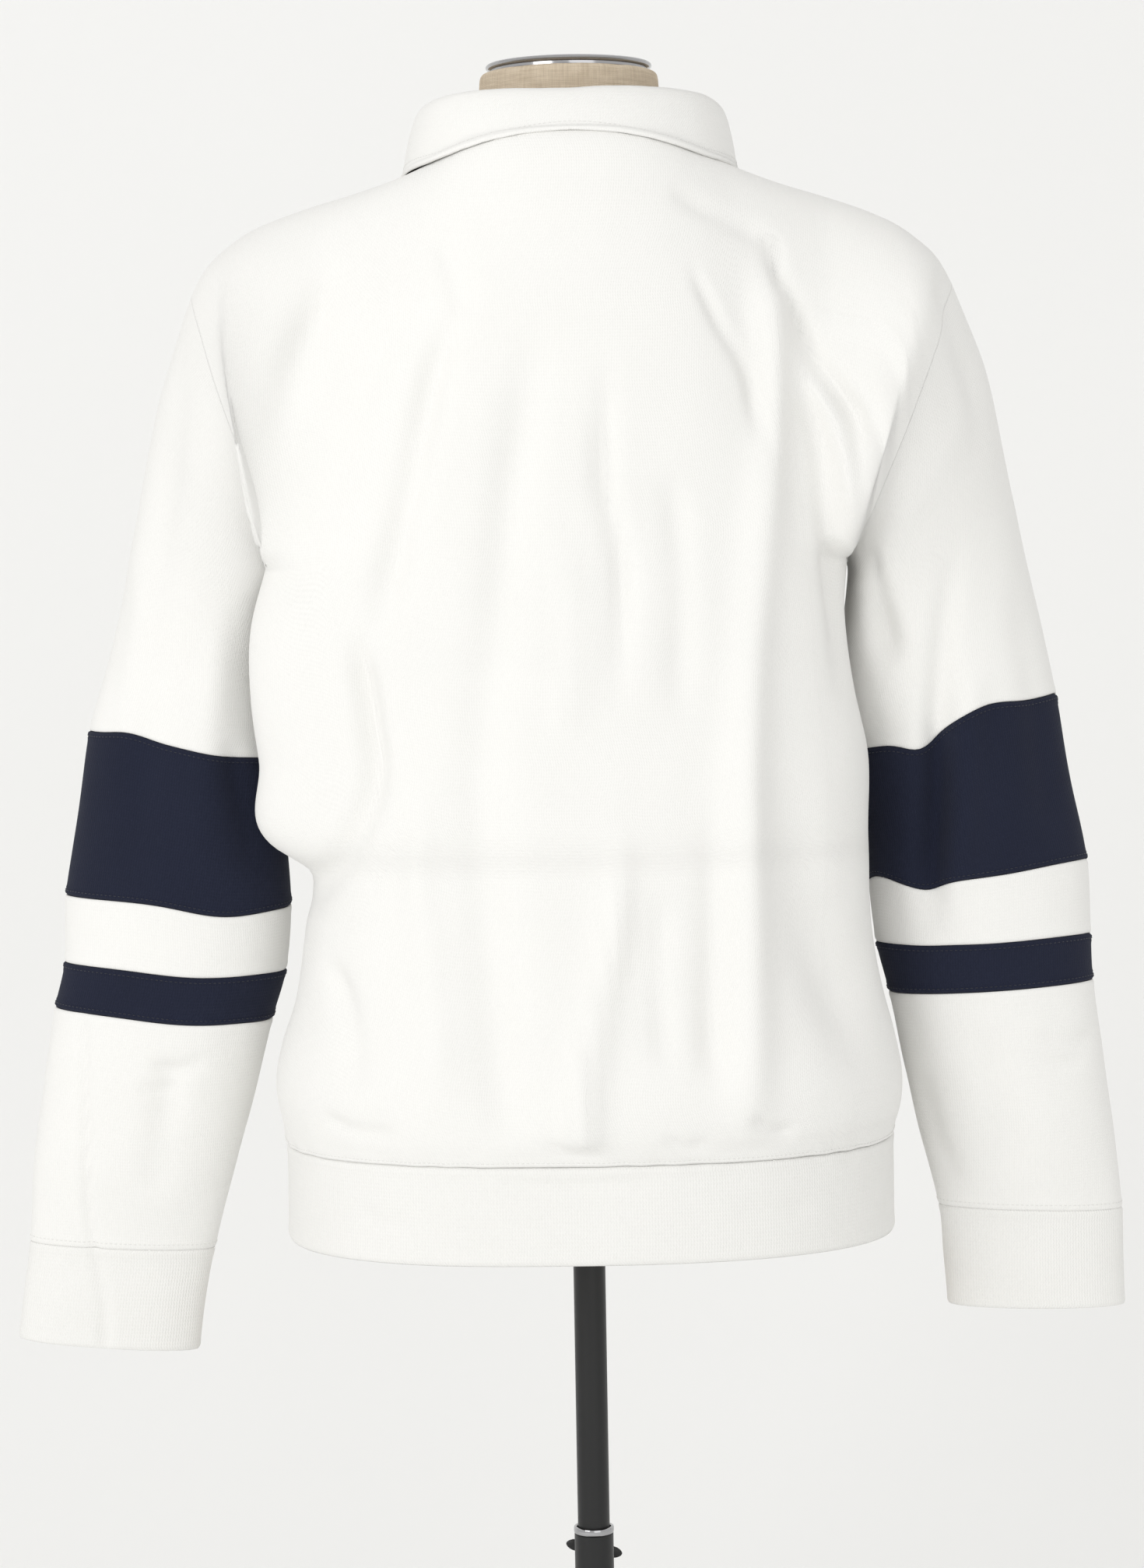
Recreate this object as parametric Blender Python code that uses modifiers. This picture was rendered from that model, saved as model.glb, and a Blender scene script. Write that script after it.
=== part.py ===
"""A sweatshirt with a fold-down collar, hanging on a limbless linen dress form and its pole stand.

Metres, +Z up. The origin is on the floor under the pole. The garment's back faces -Y, its front
faces +Y, and the wearer's right is at +X. Cloth is an open surface worked out from tables of
sections and folds, thickened inwards. Lengths are in metres unless a name says otherwise.
"""

import math
from collections import namedtuple

import bmesh
import bpy
import numpy as np
from mathutils import Matrix, Vector
from mathutils.bvhtree import BVHTree

# Driving dimensions.
CLOTH = 0.002
SEAM_GAP = 0.0003
SLEEVE_SEAM_GAP = 0.0006
ARMHOLE_GAP = 0.0006
RUN_GAP = 0.0003
BACK, FRONT = -1, 1
LEFT, RIGHT = -1, 1

HEM_SEAM_Z = 0.806
HEM_BOTTOM_Z = 0.743
PIT_Z = 1.188
TIP_X, TIP_Z = 0.250, 1.368
NECK_HALF_WIDTH, NECK_Z = 0.091, 1.446
NECK_BACK, NECK_FRONT = 0.076, 0.104
NECK_BACK_RISE, NECK_V_DROP = 0.020, 0.075
SHOULDER_SEAM_Y = -0.012
ARMHOLE_DEPTH = 0.080
SECTION_POWER = 0.80
ROUNDING = 2.6
NECK_ROUNDING, NECK_ROUNDING_REACH = 1.9, 0.27
ROW_CROWDING = 1.5
FRONT_EASE = 0.004
TUCK_REACH = 0.040
LOBE_Y, LOBE_REACH = -0.060, 0.036

FORM_UNDERSIDE_Z = 0.739
FORM_REST_GAP = 0.0006
FORM_NECK_RADIUS = 0.0598
FORM_TOP_Z = 1.5115
CAP_RADIUS, CAP_THICKNESS, CAP_STEP = 0.0550, 0.0045, 0.0015

POLE_RADIUS = 0.0108
TUBE_RADIUS, TUBE_BORE = 0.0132, 0.0116
TUBE_TOP_Z = 0.5320
RIM_RADIUS, RIM_HEIGHT = 0.0136, 0.0045
POLE_BOTTOM_Z = 0.250
POLE_SOCKET_DEPTH = 0.160
BASE_RADIUS, BASE_THICKNESS = 0.190, 0.012
BOSS_RADIUS, BOSS_HEIGHT = 0.024, 0.055
KNOB_Z, KNOB_TURN = 0.5150, math.radians(12)
SCREW_RADIUS = 0.0030
ROUND_STEPS = 32

PANEL_COLUMNS, SHOULDER_COLUMNS = 26, 7
BACK_ROWS_LOW, FRONT_ROWS_LOW = 15, 8
BACK_ROWS_HIGH, FRONT_ROWS_HIGH = 12, 10
SLEEVE_SIDES = 14
HEM_SIDES, HEM_ROWS = 44, 2
COLLAR_STEPS = 30

# Horizontal sections of the body, from the hem seam up to the armpits. left and right are half
# widths, and a tuck is how far the side seam lies inside them.
Level = namedtuple("Level", "z left right back front left_tuck right_tuck lobe")
BODY = (
    Level(0.806, 0.201, 0.205, 0.149, 0.142, 0.000, 0.000, 0.000),
    Level(0.822, 0.205, 0.212, 0.155, 0.149, 0.004, 0.004, 0.000),
    Level(0.845, 0.210, 0.216, 0.157, 0.152, 0.008, 0.008, 0.000),
    Level(0.876, 0.207, 0.213, 0.152, 0.150, 0.012, 0.013, 0.000),
    Level(0.902, 0.200, 0.208, 0.148, 0.147, 0.016, 0.017, 0.000),
    Level(0.950, 0.193, 0.200, 0.144, 0.144, 0.016, 0.019, 0.000),
    Level(0.975, 0.189, 0.199, 0.1422, 0.1432, 0.012, 0.020, 0.000),
    Level(0.990, 0.189, 0.199, 0.1409, 0.1425, 0.011, 0.020, 0.000),
    Level(1.007, 0.190, 0.199, 0.1392, 0.1416, 0.011, 0.021, 0.023),
    Level(1.063, 0.200, 0.200, 0.1325, 0.1385, 0.020, 0.022, 0.023),
    Level(1.105, 0.208, 0.193, 0.1280, 0.1355, 0.028, 0.025, 0.022),
    Level(1.153, 0.218, 0.190, 0.1240, 0.1330, 0.035, 0.022, 0.013),
    Level(1.188, 0.222, 0.186, 0.122, 0.132, 0.038, 0.008, 0.000),
)

# The shoulder seam from the neck out to the armhole, seen from behind.
Ridge = namedtuple("Ridge", "x z")
SHOULDER = (
    Ridge(NECK_HALF_WIDTH, NECK_Z),
    Ridge(0.140, 1.4335),
    Ridge(0.198, 1.4145),
    Ridge(0.232, 1.3960),
    Ridge(0.243, 1.3830),
    Ridge(TIP_X, TIP_Z),
)

# Rings of a sleeve below its armhole. Each ring is given by its outermost and innermost points,
# its half depths behind and in front, and the middle of its depth.
Ring = namedtuple("Ring", "out_x out_z in_x in_z behind ahead middle")
LEFT_RINGS = (
    Ring(0.263, 1.338, 0.191, 1.180, 0.078, 0.078, 0.002),
    Ring(0.275, 1.305, 0.197, 1.166, 0.070, 0.074, 0.006),
    Ring(0.285, 1.266, 0.201, 1.146, 0.060, 0.068, 0.010),
    Ring(0.294, 1.222, 0.203, 1.122, 0.052, 0.062, 0.012),
    Ring(0.304, 1.174, 0.204, 1.098, 0.048, 0.057, 0.012),
    Ring(0.316, 1.126, 0.203, 1.078, 0.046, 0.053, 0.012),
    Ring(0.329, 1.082, 0.201, 1.062, 0.046, 0.050, 0.011),
    Ring(0.338, 1.028, 0.198, 1.014, 0.047, 0.049, 0.011),
    Ring(0.348, 0.972, 0.196, 0.963, 0.046, 0.048, 0.012),
    Ring(0.350, 0.927, 0.201, 0.919, 0.044, 0.046, 0.013),
    Ring(0.357, 0.896, 0.211, 0.886, 0.043, 0.045, 0.014),
    Ring(0.366, 0.845, 0.223, 0.838, 0.040, 0.042, 0.015),
    Ring(0.375, 0.793, 0.237, 0.788, 0.036, 0.038, 0.016),
    Ring(0.380, 0.736, 0.254, 0.729, 0.026, 0.028, 0.018),
    Ring(0.385, 0.702, 0.262, 0.694, 0.025, 0.027, 0.018),
    Ring(0.389, 0.670, 0.267, 0.660, 0.024, 0.026, 0.018),
)
RIGHT_RINGS = (
    Ring(0.262, 1.342, 0.180, 1.180, 0.078, 0.078, 0.000),
    Ring(0.274, 1.310, 0.179, 1.166, 0.073, 0.074, 0.002),
    Ring(0.283, 1.270, 0.177, 1.148, 0.065, 0.068, 0.005),
    Ring(0.291, 1.228, 0.175, 1.128, 0.058, 0.062, 0.008),
    Ring(0.300, 1.182, 0.175, 1.106, 0.053, 0.057, 0.010),
    Ring(0.310, 1.138, 0.178, 1.083, 0.050, 0.053, 0.011),
    Ring(0.320, 1.091, 0.183, 1.060, 0.048, 0.050, 0.011),
    Ring(0.330, 1.034, 0.189, 1.014, 0.047, 0.048, 0.012),
    Ring(0.339, 0.980, 0.192, 0.970, 0.045, 0.046, 0.012),
    Ring(0.341, 0.932, 0.197, 0.930, 0.043, 0.044, 0.013),
    Ring(0.343, 0.902, 0.206, 0.896, 0.042, 0.043, 0.014),
    Ring(0.350, 0.850, 0.216, 0.846, 0.039, 0.040, 0.015),
    Ring(0.356, 0.803, 0.226, 0.799, 0.035, 0.036, 0.016),
    Ring(0.362, 0.746, 0.238, 0.750, 0.026, 0.027, 0.018),
    Ring(0.363, 0.714, 0.241, 0.716, 0.025, 0.026, 0.018),
    Ring(0.364, 0.680, 0.244, 0.682, 0.024, 0.025, 0.018),
)
# The pieces of a sleeve: the ring row each starts and ends at (0 is the armhole), and its rows.
Piece = namedtuple("Piece", "name first last rows colour")
SLEEVE_PIECES = (
    Piece("sleeve_upper", 0, 7, 12, "fleece"),
    Piece("sleeve_band_wide", 7, 9, 3, "navy"),
    Piece("sleeve_gap", 9, 10, 2, "fleece"),
    Piece("sleeve_band_narrow", 10, 11, 1, "navy"),
    Piece("sleeve_lower", 11, 14, 4, "fleece"),
    Piece("cuff", 14, 16, 2, "rib"),
)

# The largest folds of a panel, seen from behind: two ends, the sideways bow at mid-length, the
# reach to each side and the height, which is negative for a trough.
Fold = namedtuple("Fold", "x1 z1 x2 z2 bow reach height")
BACK_FOLDS = (
    Fold(-0.145, 1.370, -0.199, 1.150, -0.016, 0.022, -0.009),
    Fold(-0.063, 1.348, -0.131, 1.110, -0.012, 0.018, -0.008),
    Fold(-0.138, 1.120, -0.180, 0.965, 0.024, 0.018, -0.008),
    Fold(0.024, 1.330, 0.028, 1.080, -0.004, 0.020, -0.007),
    Fold(-0.020, 1.330, -0.050, 0.850, -0.020, 0.022, -0.005),
    Fold(0.030, 1.010, -0.002, 0.830, 0.004, 0.018, 0.006),
    Fold(0.127, 1.374, 0.107, 0.830, -0.004, 0.018, 0.009),
    Fold(0.142, 1.310, 0.168, 1.105, -0.002, 0.018, -0.006),
    Fold(0.136, 1.000, 0.170, 0.840, -0.004, 0.028, -0.008),
)
FRONT_FOLDS = (
    Fold(-0.150, 1.340, -0.120, 0.860, 0.010, 0.022, -0.008),
    Fold(-0.050, 1.250, -0.020, 0.850, -0.010, 0.020, 0.006),
    Fold(0.060, 1.300, 0.090, 0.880, 0.010, 0.022, -0.007),
    Fold(0.150, 1.330, 0.135, 0.850, 0.006, 0.018, 0.007),
)
SEAM_FADE = 0.030

# Where a panel's corner beside the neck is eased: from a height up, and away from the edges.
EASE_FROM_Z, EASE_OVER = 1.31, 0.08
EASE_TOP_FADE, EASE_SIDE_FADE = 0.060, 0.040
EASE_HALF_WIDTH = 0.165
EASE_STEPS = 8

# Horizontal sections of the dress form. The shoulder rows above them follow the cloth's ridge.
Section = namedtuple("Section", "z half back front power middle", defaults=(0.0,))
FORM = (
    Section(FORM_UNDERSIDE_Z, 0.188, 0.126, 0.120, 0.88),
    Section(FORM_UNDERSIDE_Z + 0.002, 0.192, 0.130, 0.124, 0.88),
    Section(0.746, 0.194, 0.132, 0.126, 0.88),
    Section(0.790, 0.194, 0.134, 0.126, 0.88),
    Section(0.840, 0.190, 0.130, 0.124, 0.90),
    Section(0.900, 0.174, 0.114, 0.116, 0.92),
    Section(0.960, 0.156, 0.098, 0.106, 0.94),
    Section(1.020, 0.146, 0.090, 0.100, 0.94),
    Section(1.080, 0.148, 0.092, 0.102, 0.92),
    Section(1.140, 0.158, 0.098, 0.108, 0.90),
    Section(1.200, 0.168, 0.102, 0.112, 0.88),
    Section(1.260, 0.180, 0.102, 0.110, 0.86),
    Section(1.320, 0.200, 0.084, 0.084, 0.92),
    Section(1.350, 0.213, 0.069, 0.064, 0.98),
)
FORM_SHOULDER_ROWS = 9
FORM_NECK_EASE, FORM_NECK_EASE_REACH = 0.006, 0.050
FORM_NECK = (
    Section(1.4520, 0.0660, 0.057, 0.054, 1.00),
    Section(1.4650, 0.0625, 0.061, 0.061, 1.00),
    Section(1.4800, FORM_NECK_RADIUS, FORM_NECK_RADIUS, FORM_NECK_RADIUS, 1.00),
    Section(1.5065, FORM_NECK_RADIUS, FORM_NECK_RADIUS, FORM_NECK_RADIUS, 1.00),
    Section(1.5103, 0.0584, 0.0584, 0.0584, 1.00),
    Section(FORM_TOP_Z, 0.0550, 0.0550, 0.0550, 1.00),
)
FORM_SIDES = 40
FORM_COVERED_Z, FORM_LIFT = 1.300, 0.0012

# The collar's profile from the neck seam up the stand, over the fold and down the fall: how far
# out it lies as a share of the reach, how far up the stand and how far down the fall.
Bend = namedtuple("Bend", "out up fall")
COLLAR_BENDS = (
    Bend(0.00, 0.00, 0.00),
    Bend(0.02, 0.50, 0.00),
    Bend(0.12, 0.86, 0.00),
    Bend(0.34, 1.00, 0.00),
    Bend(0.60, 1.00, 0.08),
    Bend(0.80, 1.00, 0.38),
    Bend(0.92, 1.00, 0.70),
    Bend(1.00, 1.00, 1.00),
)
# The collar from the centre of the back round to a front end: the height of its stand, the fall
# edge's height above the neck seam, and the fall's reach out from it.
Girth = namedtuple("Girth", "stand edge reach")
COLLAR_GIRTHS = (
    Girth(0.024, -0.004, 0.018),
    Girth(0.029, -0.014, 0.020),
    Girth(0.034, -0.010, 0.021),
    Girth(0.030, -0.016, 0.022),
    Girth(0.022, -0.024, 0.026),
)
COLLAR_FRONT_END = 0.485
COLLAR_LIFT, FALL_LIFT = 0.0011, 0.0036
CLEARING_STEPS = 5

Finish = namedtuple("Finish", "colour roughness metallic")
FINISHES = {
    "fleece": Finish((0.91, 0.91, 0.895), 0.90, 0.0),
    "rib": Finish((0.88, 0.87, 0.85), 0.92, 0.0),
    "navy": Finish((0.018, 0.022, 0.045), 0.90, 0.0),
    "linen": Finish((0.62, 0.47, 0.33), 0.95, 0.0),
    "chrome": Finish((0.75, 0.75, 0.76), 0.12, 1.0),
    "black_metal": Finish((0.018, 0.019, 0.019), 0.35, 0.6),
}


def between(rows, place):
    """Return every column of a table at a fractional row number, on a smooth curve."""
    table = np.array(rows, dtype=float)
    last = len(table) - 1
    place = min(max(place, 0.0), float(last))
    start = min(int(place), last - 1)
    t = place - start
    before, low, high, after = (table[min(max(start + k, 0), last)] for k in (-1, 0, 1, 2))
    linear = (high - before) * t
    square = (2 * before - 5 * low + 4 * high - after) * t ** 2
    cubic = (3 * low - before - 3 * high + after) * t ** 3
    return 0.5 * (2 * low + linear + square + cubic)


def at_height(rows, z):
    """Return a table's columns at a height, where z is its first column."""
    place = np.interp(z, [row[0] for row in rows], range(len(rows)))
    return between(rows, float(place))


def smooth(share):
    """Ease from 0 to 1 as the share does."""
    share = np.clip(share, 0.0, 1.0)
    return share * share * (3 - 2 * share)


def round_share(angle, power):
    """Return the cosine and sine of a superellipse."""
    cosine, sine = math.cos(angle), math.sin(angle)
    across = math.copysign(abs(cosine) ** power, cosine)
    along = math.copysign(abs(sine) ** power, sine)
    return across, along


def body_point(u, z, face):
    """Return a point below the armpits: u runs from the left side seam at 0 to the right at 1."""
    level = Level(*at_height(BODY, z))
    across, along = round_share(math.pi * u, SECTION_POWER)
    side = LEFT if across > 0 else RIGHT
    half, tuck = (level.left, level.left_tuck) if side == LEFT else (level.right, level.right_tuck)
    if face == FRONT:
        half, tuck = half - tuck + FRONT_EASE, FRONT_EASE
    y = face * (level.back if face == BACK else level.front) * along
    x = -across * half - side * tuck * math.exp(-((y / TUCK_REACH) ** 2))
    if face == BACK and side == LEFT:
        x -= level.lobe * math.exp(-(((y - LOBE_Y) / LOBE_REACH) ** 2))
    return np.array((x, y, z))


def neckline_point(turn, face):
    """Return a point of the neck seam: turn runs from the left at 0 to the right at 1."""
    across, along = round_share(math.pi * turn, 0.86)
    x = -NECK_HALF_WIDTH * across
    if face == BACK:
        return np.array((x, SHOULDER_SEAM_Y - NECK_BACK * along, NECK_Z + NECK_BACK_RISE * along))
    drop = NECK_V_DROP * (1 - abs(across)) ** 1.15
    return np.array((x, SHOULDER_SEAM_Y + NECK_FRONT * along, NECK_Z - drop))


def top_point(u, face):
    """Return a point of a panel's top edge: shoulder seam, neckline, shoulder seam."""
    seam = SHOULDER_COLUMNS / PANEL_COLUMNS
    if seam <= u <= 1 - seam:
        return neckline_point((u - seam) / (1 - 2 * seam), face)
    side = LEFT if u < 0.5 else RIGHT
    from_neck = 1 - min(u, 1 - u) / seam
    ridge = Ridge(*between(SHOULDER, from_neck * (len(SHOULDER) - 1)))
    return np.array((side * ridge.x, SHOULDER_SEAM_Y, ridge.z))


def armhole_y(rise, face):
    """Return the depth of the armhole seam: rise runs from the armpit at 0 to the shoulder at 1."""
    arch = (2 * math.sqrt(max(rise * (1 - rise), 0.0))) ** SECTION_POWER
    return SHOULDER_SEAM_Y * rise + face * ARMHOLE_DEPTH * arch


def upper_point(u, rise, face):
    """Return a point of a panel between the armpits and the shoulders."""
    low = body_point(u, PIT_Z, face)
    top = top_point(u, face)
    point = low + (top - low) * rise
    squarer = NECK_ROUNDING * math.exp(-(((u - 0.5) / NECK_ROUNDING_REACH) ** 4))
    rounding = ROUNDING + (squarer if face == BACK else 0)
    fall = (1 - rise ** rounding) ** (1 / rounding)
    inner_y = top[1] + (low[1] - top[1]) * fall
    edge_y = SHOULDER_SEAM_Y * (1 - fall)
    near_edge = smooth(1 - min(u, 1 - u) / 0.25)
    point[1] = inner_y + near_edge * (armhole_y(rise, face) - edge_y)
    return point


def eased(grid):
    """Round off a panel's corner beside the neck, leaving its edges where they are."""
    steps = np.linalg.norm(np.diff(grid, axis=1), axis=2)
    before, after = steps[:, :-1, None], steps[:, 1:, None]
    climbs = np.linalg.norm(np.diff(grid[::-1], axis=0), axis=2)
    from_top = np.cumsum(np.pad(climbs, ((1, 0), (0, 0))), axis=0)[::-1]
    weight = smooth((grid[:, :, 2] - EASE_FROM_Z) / EASE_OVER) * smooth(from_top / EASE_TOP_FADE)
    weight = weight * smooth((EASE_HALF_WIDTH - abs(grid[:, :, 0])) / EASE_SIDE_FADE)
    near = after / np.maximum(before + after, 1e-9)
    moved = grid.copy()
    for _ in range(EASE_STEPS):
        middle = moved[:, :-2] * near + moved[:, 2:] * (1 - near)
        moved[:, 1:-1] += 0.5 * weight[:, 1:-1, None] * (middle - moved[:, 1:-1])
    return moved


def fold_height(fold, x, z):
    """Return one fold's height at a place on a panel."""
    run_x, run_z = fold.x2 - fold.x1, fold.z2 - fold.z1
    length = math.hypot(run_x, run_z)
    along = ((x - fold.x1) * run_x + (z - fold.z1) * run_z) / length ** 2
    aside = (run_x * (z - fold.z1) - run_z * (x - fold.x1)) / length
    aside -= fold.bow * 4 * along * (1 - along)
    ends = smooth(along / 0.25) * smooth((1 - along) / 0.25)
    return fold.height * ends * math.exp(-((aside / fold.reach) ** 2))


def normals_of(grid):
    """Return the unit normals of a grid of points, as rows by columns by 3."""
    down = np.gradient(grid, axis=0)
    across = np.gradient(grid, axis=1)
    normal = np.cross(across, down)
    return normal / np.maximum(np.linalg.norm(normal, axis=2, keepdims=True), 1e-9)


def folded(grid, folds, face):
    """Push a panel's grid out and in along its normals by the folds, fading at its seams."""
    normals = normals_of(grid)
    outward = normals * np.sign(normals[len(grid) // 2, grid.shape[1] // 2, 1] * face)
    moved = grid.copy()
    rows, columns = grid.shape[:2]
    for r in range(1, rows - 1):
        for c in range(1, columns - 1):
            x, y, z = grid[r, c]
            edges = (grid[r, 0], grid[r, -1], grid[0, c], grid[-1, c])
            nearest = min(float(np.linalg.norm(grid[r, c] - edge)) for edge in edges)
            height = sum(fold_height(fold, x, z) for fold in folds)
            moved[r, c] += outward[r, c] * height * smooth(nearest / SEAM_FADE)
    return moved


def grid_faces(rows, columns, closed):
    """Return the four-sided faces of a grid; a closed grid's last column joins its first."""
    span = columns if closed else columns - 1
    faces = []
    for r in range(rows - 1):
        for c in range(span):
            low, high = r * columns, (r + 1) * columns
            following = (c + 1) % columns
            faces.append((low + c, low + following, high + following, high + c))
    return faces


def panel_grid(face, low_rows, high_rows, folds):
    """Return a panel's points from the hem seam up to the shoulders."""
    rows = []
    columns = [c / PANEL_COLUMNS for c in range(PANEL_COLUMNS + 1)]
    for r in range(low_rows):
        z = HEM_SEAM_Z + SEAM_GAP + (PIT_Z - HEM_SEAM_Z) * r / low_rows
        rows.append([body_point(u, z, face) for u in columns])
    for r in range(high_rows + 1):
        rise = 1 - ((1 + math.cos(math.pi * r / high_rows)) / 2) ** ROW_CROWDING
        rows.append([upper_point(u, rise, face) for u in columns])
    grid = folded(eased(np.array(rows)), folds, face)
    grid[:, :, 1] += face * SEAM_GAP / 2
    grid[-1, :, 1] += face * SEAM_GAP / 2
    return grid


def mesh_from_grid(name, grid, closed):
    """Make a mesh of a grid of points."""
    mesh = bpy.data.meshes.new(name)
    faces = grid_faces(*grid.shape[:2], closed)
    mesh.from_pydata([tuple(point) for point in grid.reshape(-1, 3)], [], faces)
    return mesh


def material_for(name):
    """Return the material of a finish, made on its first use."""
    found = bpy.data.materials.get(name)
    if found:
        return found
    finish = FINISHES[name]
    material = bpy.data.materials.new(name)
    material.use_nodes = True
    shader = material.node_tree.nodes["Principled BSDF"]
    shader.inputs["Base Color"].default_value = (*finish.colour, 1)
    shader.inputs["Roughness"].default_value = finish.roughness
    shader.inputs["Metallic"].default_value = finish.metallic
    material.diffuse_color = (*finish.colour, 1)
    return material


def place(name, mesh, finish, collection, crease_degrees=40):
    """Add a mesh to a collection as a smooth-shaded object."""
    obj = bpy.data.objects.new(name, mesh)
    mesh.shade_smooth()
    mesh.set_sharp_from_angle(angle=math.radians(crease_degrees))
    if finish:
        mesh.materials.append(material_for(finish))
    collection.objects.link(obj)
    return obj


def cloth(name, grid, closed, outside, finish, parts):
    """Add a piece of cloth: a grid thickened away from its outer side.

    outside is a direction that the outer side of the grid's middle faces.
    """
    normals = normals_of(grid)
    middle = normals[len(grid) // 2, 0 if closed else grid.shape[1] // 2]
    if np.dot(middle, outside) < 0:
        grid = grid[::-1]
    obj = place(name, mesh_from_grid(name, grid, closed), finish, parts)
    wall = obj.modifiers.new("wall", "SOLIDIFY")
    wall.thickness = CLOTH
    wall.offset = -1
    wall.use_even_offset = False
    return obj


def armhole_ring(side):
    """Return the sleeve's first ring: the armhole seam, a seam's gap outside the panels."""
    pit = abs(body_point(0 if side == LEFT else 1, PIT_Z, BACK)[0])
    points = []
    for k in range(SLEEVE_SIDES):
        angle = 2 * math.pi * k / SLEEVE_SIDES
        rise = (1 + math.cos(angle)) / 2
        face = BACK if math.sin(angle) > 0 else FRONT
        x = pit + (TIP_X - pit) * rise + ARMHOLE_GAP
        points.append((side * x, armhole_y(rise, face), PIT_Z + (TIP_Z - PIT_Z) * rise))
    return points


def ring_points(ring, side):
    """Return the points of one sleeve ring: the outermost first, then by way of the back."""
    points = []
    for k in range(SLEEVE_SIDES):
        angle = 2 * math.pi * k / SLEEVE_SIDES
        share = (1 + math.cos(angle)) / 2
        x = ring.in_x + (ring.out_x - ring.in_x) * share
        z = ring.in_z + (ring.out_z - ring.in_z) * share
        depth = ring.behind if math.sin(angle) > 0 else ring.ahead
        along = abs(math.sin(angle)) ** 0.9 * (BACK if math.sin(angle) > 0 else FRONT)
        points.append((side * x, ring.middle + depth * along, z))
    return points


def sleeve_grid(side, piece):
    """Return one sleeve piece's points from its upper seam to its lower one."""
    table = LEFT_RINGS if side == LEFT else RIGHT_RINGS
    rings = [armhole_ring(side)] + [ring_points(ring, side) for ring in table]
    columns = len(rings)
    flat = np.array(rings).reshape(columns, -1)
    rows = []
    for r in range(piece.rows + 1):
        row = between(flat, piece.first + (piece.last - piece.first) * r / piece.rows)
        rows.append(row.reshape(-1, 3))
    grid = np.array(rows)
    first = grid[1] - grid[0]
    grid[0] += first / np.linalg.norm(first, axis=1, keepdims=True) * SLEEVE_SEAM_GAP
    return grid


def add_sleeves(parts):
    """Add both sleeves, each of six pieces sewn end to end."""
    for side, word in ((LEFT, "left"), (RIGHT, "right")):
        for piece in SLEEVE_PIECES:
            name = f"{word}_{piece.name}"
            cloth(name, sleeve_grid(side, piece), True, (side, 0, 0.2), piece.colour, parts)


def add_panels(parts):
    """Add the back and the front, and return their outer surfaces."""
    back = panel_grid(BACK, BACK_ROWS_LOW, BACK_ROWS_HIGH, BACK_FOLDS)
    front = panel_grid(FRONT, FRONT_ROWS_LOW, FRONT_ROWS_HIGH, FRONT_FOLDS)
    cloth("back_panel", back, False, (0, -1, 0), "fleece", parts)
    cloth("front_panel", front, False, (0, 1, 0), "fleece", parts)
    return {BACK: surface_of(back, BACK), FRONT: surface_of(front, FRONT)}


def add_hem(parts):
    """Add the hem band, a plain tube under the hem seam."""
    half = HEM_SIDES // 2
    rows = []
    for r in range(HEM_ROWS + 1):
        drop = (HEM_SEAM_Z - HEM_BOTTOM_Z) * r / HEM_ROWS
        ring = [body_point(c / half, HEM_SEAM_Z, BACK) for c in range(half)]
        ring += [body_point(1 - c / half, HEM_SEAM_Z, FRONT) for c in range(half)]
        rows.append([point - (0, 0, drop) for point in ring])
    cloth("hem_band", np.array(rows), True, (-1, 0, 0), "rib", parts)


def surface_of(grid, face):
    """Return a panel's outer surface, for measuring to it, with its normals outwards."""
    if normals_of(grid)[len(grid) // 2, grid.shape[1] // 2, 1] * face < 0:
        grid = grid[::-1]
    points = [Vector(point) for point in grid.reshape(-1, 3)]
    return BVHTree.FromPolygons(points, grid_faces(*grid.shape[:2], False))


def clear_of(surface, point, gap, way):
    """Move a point until it lies a gap outside a panel's surface (way 1) or inside it (way -1)."""
    point = Vector(point)
    for _ in range(CLEARING_STEPS):
        nearest, normal = surface.find_nearest(point)[:2]
        normal = normal * way
        distance = (point - nearest).dot(normal)
        if distance < gap:
            point = point + normal * (gap - distance)
    return np.array(point)


def covered_by(surface, point, face):
    """Tell whether a panel lies over a point, as seen from straight behind or in front."""
    start = Vector((point[0], face * 1.0, point[2]))
    return surface.ray_cast(start, Vector((0, -face, 0)))[0] is not None


def collar_column(way, surfaces):
    """Return the collar's points at one place round the neck, from the neck seam to the fall edge.

    way runs from 0 at the left of the neck to 1 at its right by way of the back, and past both
    to the front ends.
    """
    face = BACK if 0 <= way <= 1 else FRONT
    turn = way if face == BACK else (-way if way < 0 else 2 - way)
    seam = neckline_point(turn, face)
    away = seam - (0, SHOULDER_SEAM_Y, 0)
    away[2] = 0
    away /= np.linalg.norm(away)
    from_back = abs(way - 0.5) / (0.5 + COLLAR_FRONT_END)
    girth = Girth(*between(COLLAR_GIRTHS, from_back * (len(COLLAR_GIRTHS) - 1)))
    points = []
    for bend in COLLAR_BENDS:
        up = COLLAR_LIFT + bend.up * girth.stand - bend.fall * (girth.stand - girth.edge)
        point = seam + away * (bend.out * girth.reach - CLOTH * 0.6) + (0, 0, up)
        if bend.fall:
            point = clear_of(surfaces[face], point, CLOTH + FALL_LIFT, 1)
        points.append(point)
    return points


def add_collar(parts, surfaces):
    """Add the collar: a stand from the neck seam, folded over into a fall that meets in front."""
    span = 1 + 2 * COLLAR_FRONT_END
    ways = [-COLLAR_FRONT_END + span * k / COLLAR_STEPS for k in range(COLLAR_STEPS + 1)]
    columns = np.array([collar_column(way, surfaces) for way in ways])
    cloth("collar", columns.transpose(1, 0, 2), False, (0, 0, 1), "fleece", parts)


def neck_ease(x):
    """Return how much further the form keeps from the cloth near the neck."""
    return FORM_NECK_EASE * smooth(1 - (abs(x) - NECK_HALF_WIDTH) / FORM_NECK_EASE_REACH)


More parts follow.
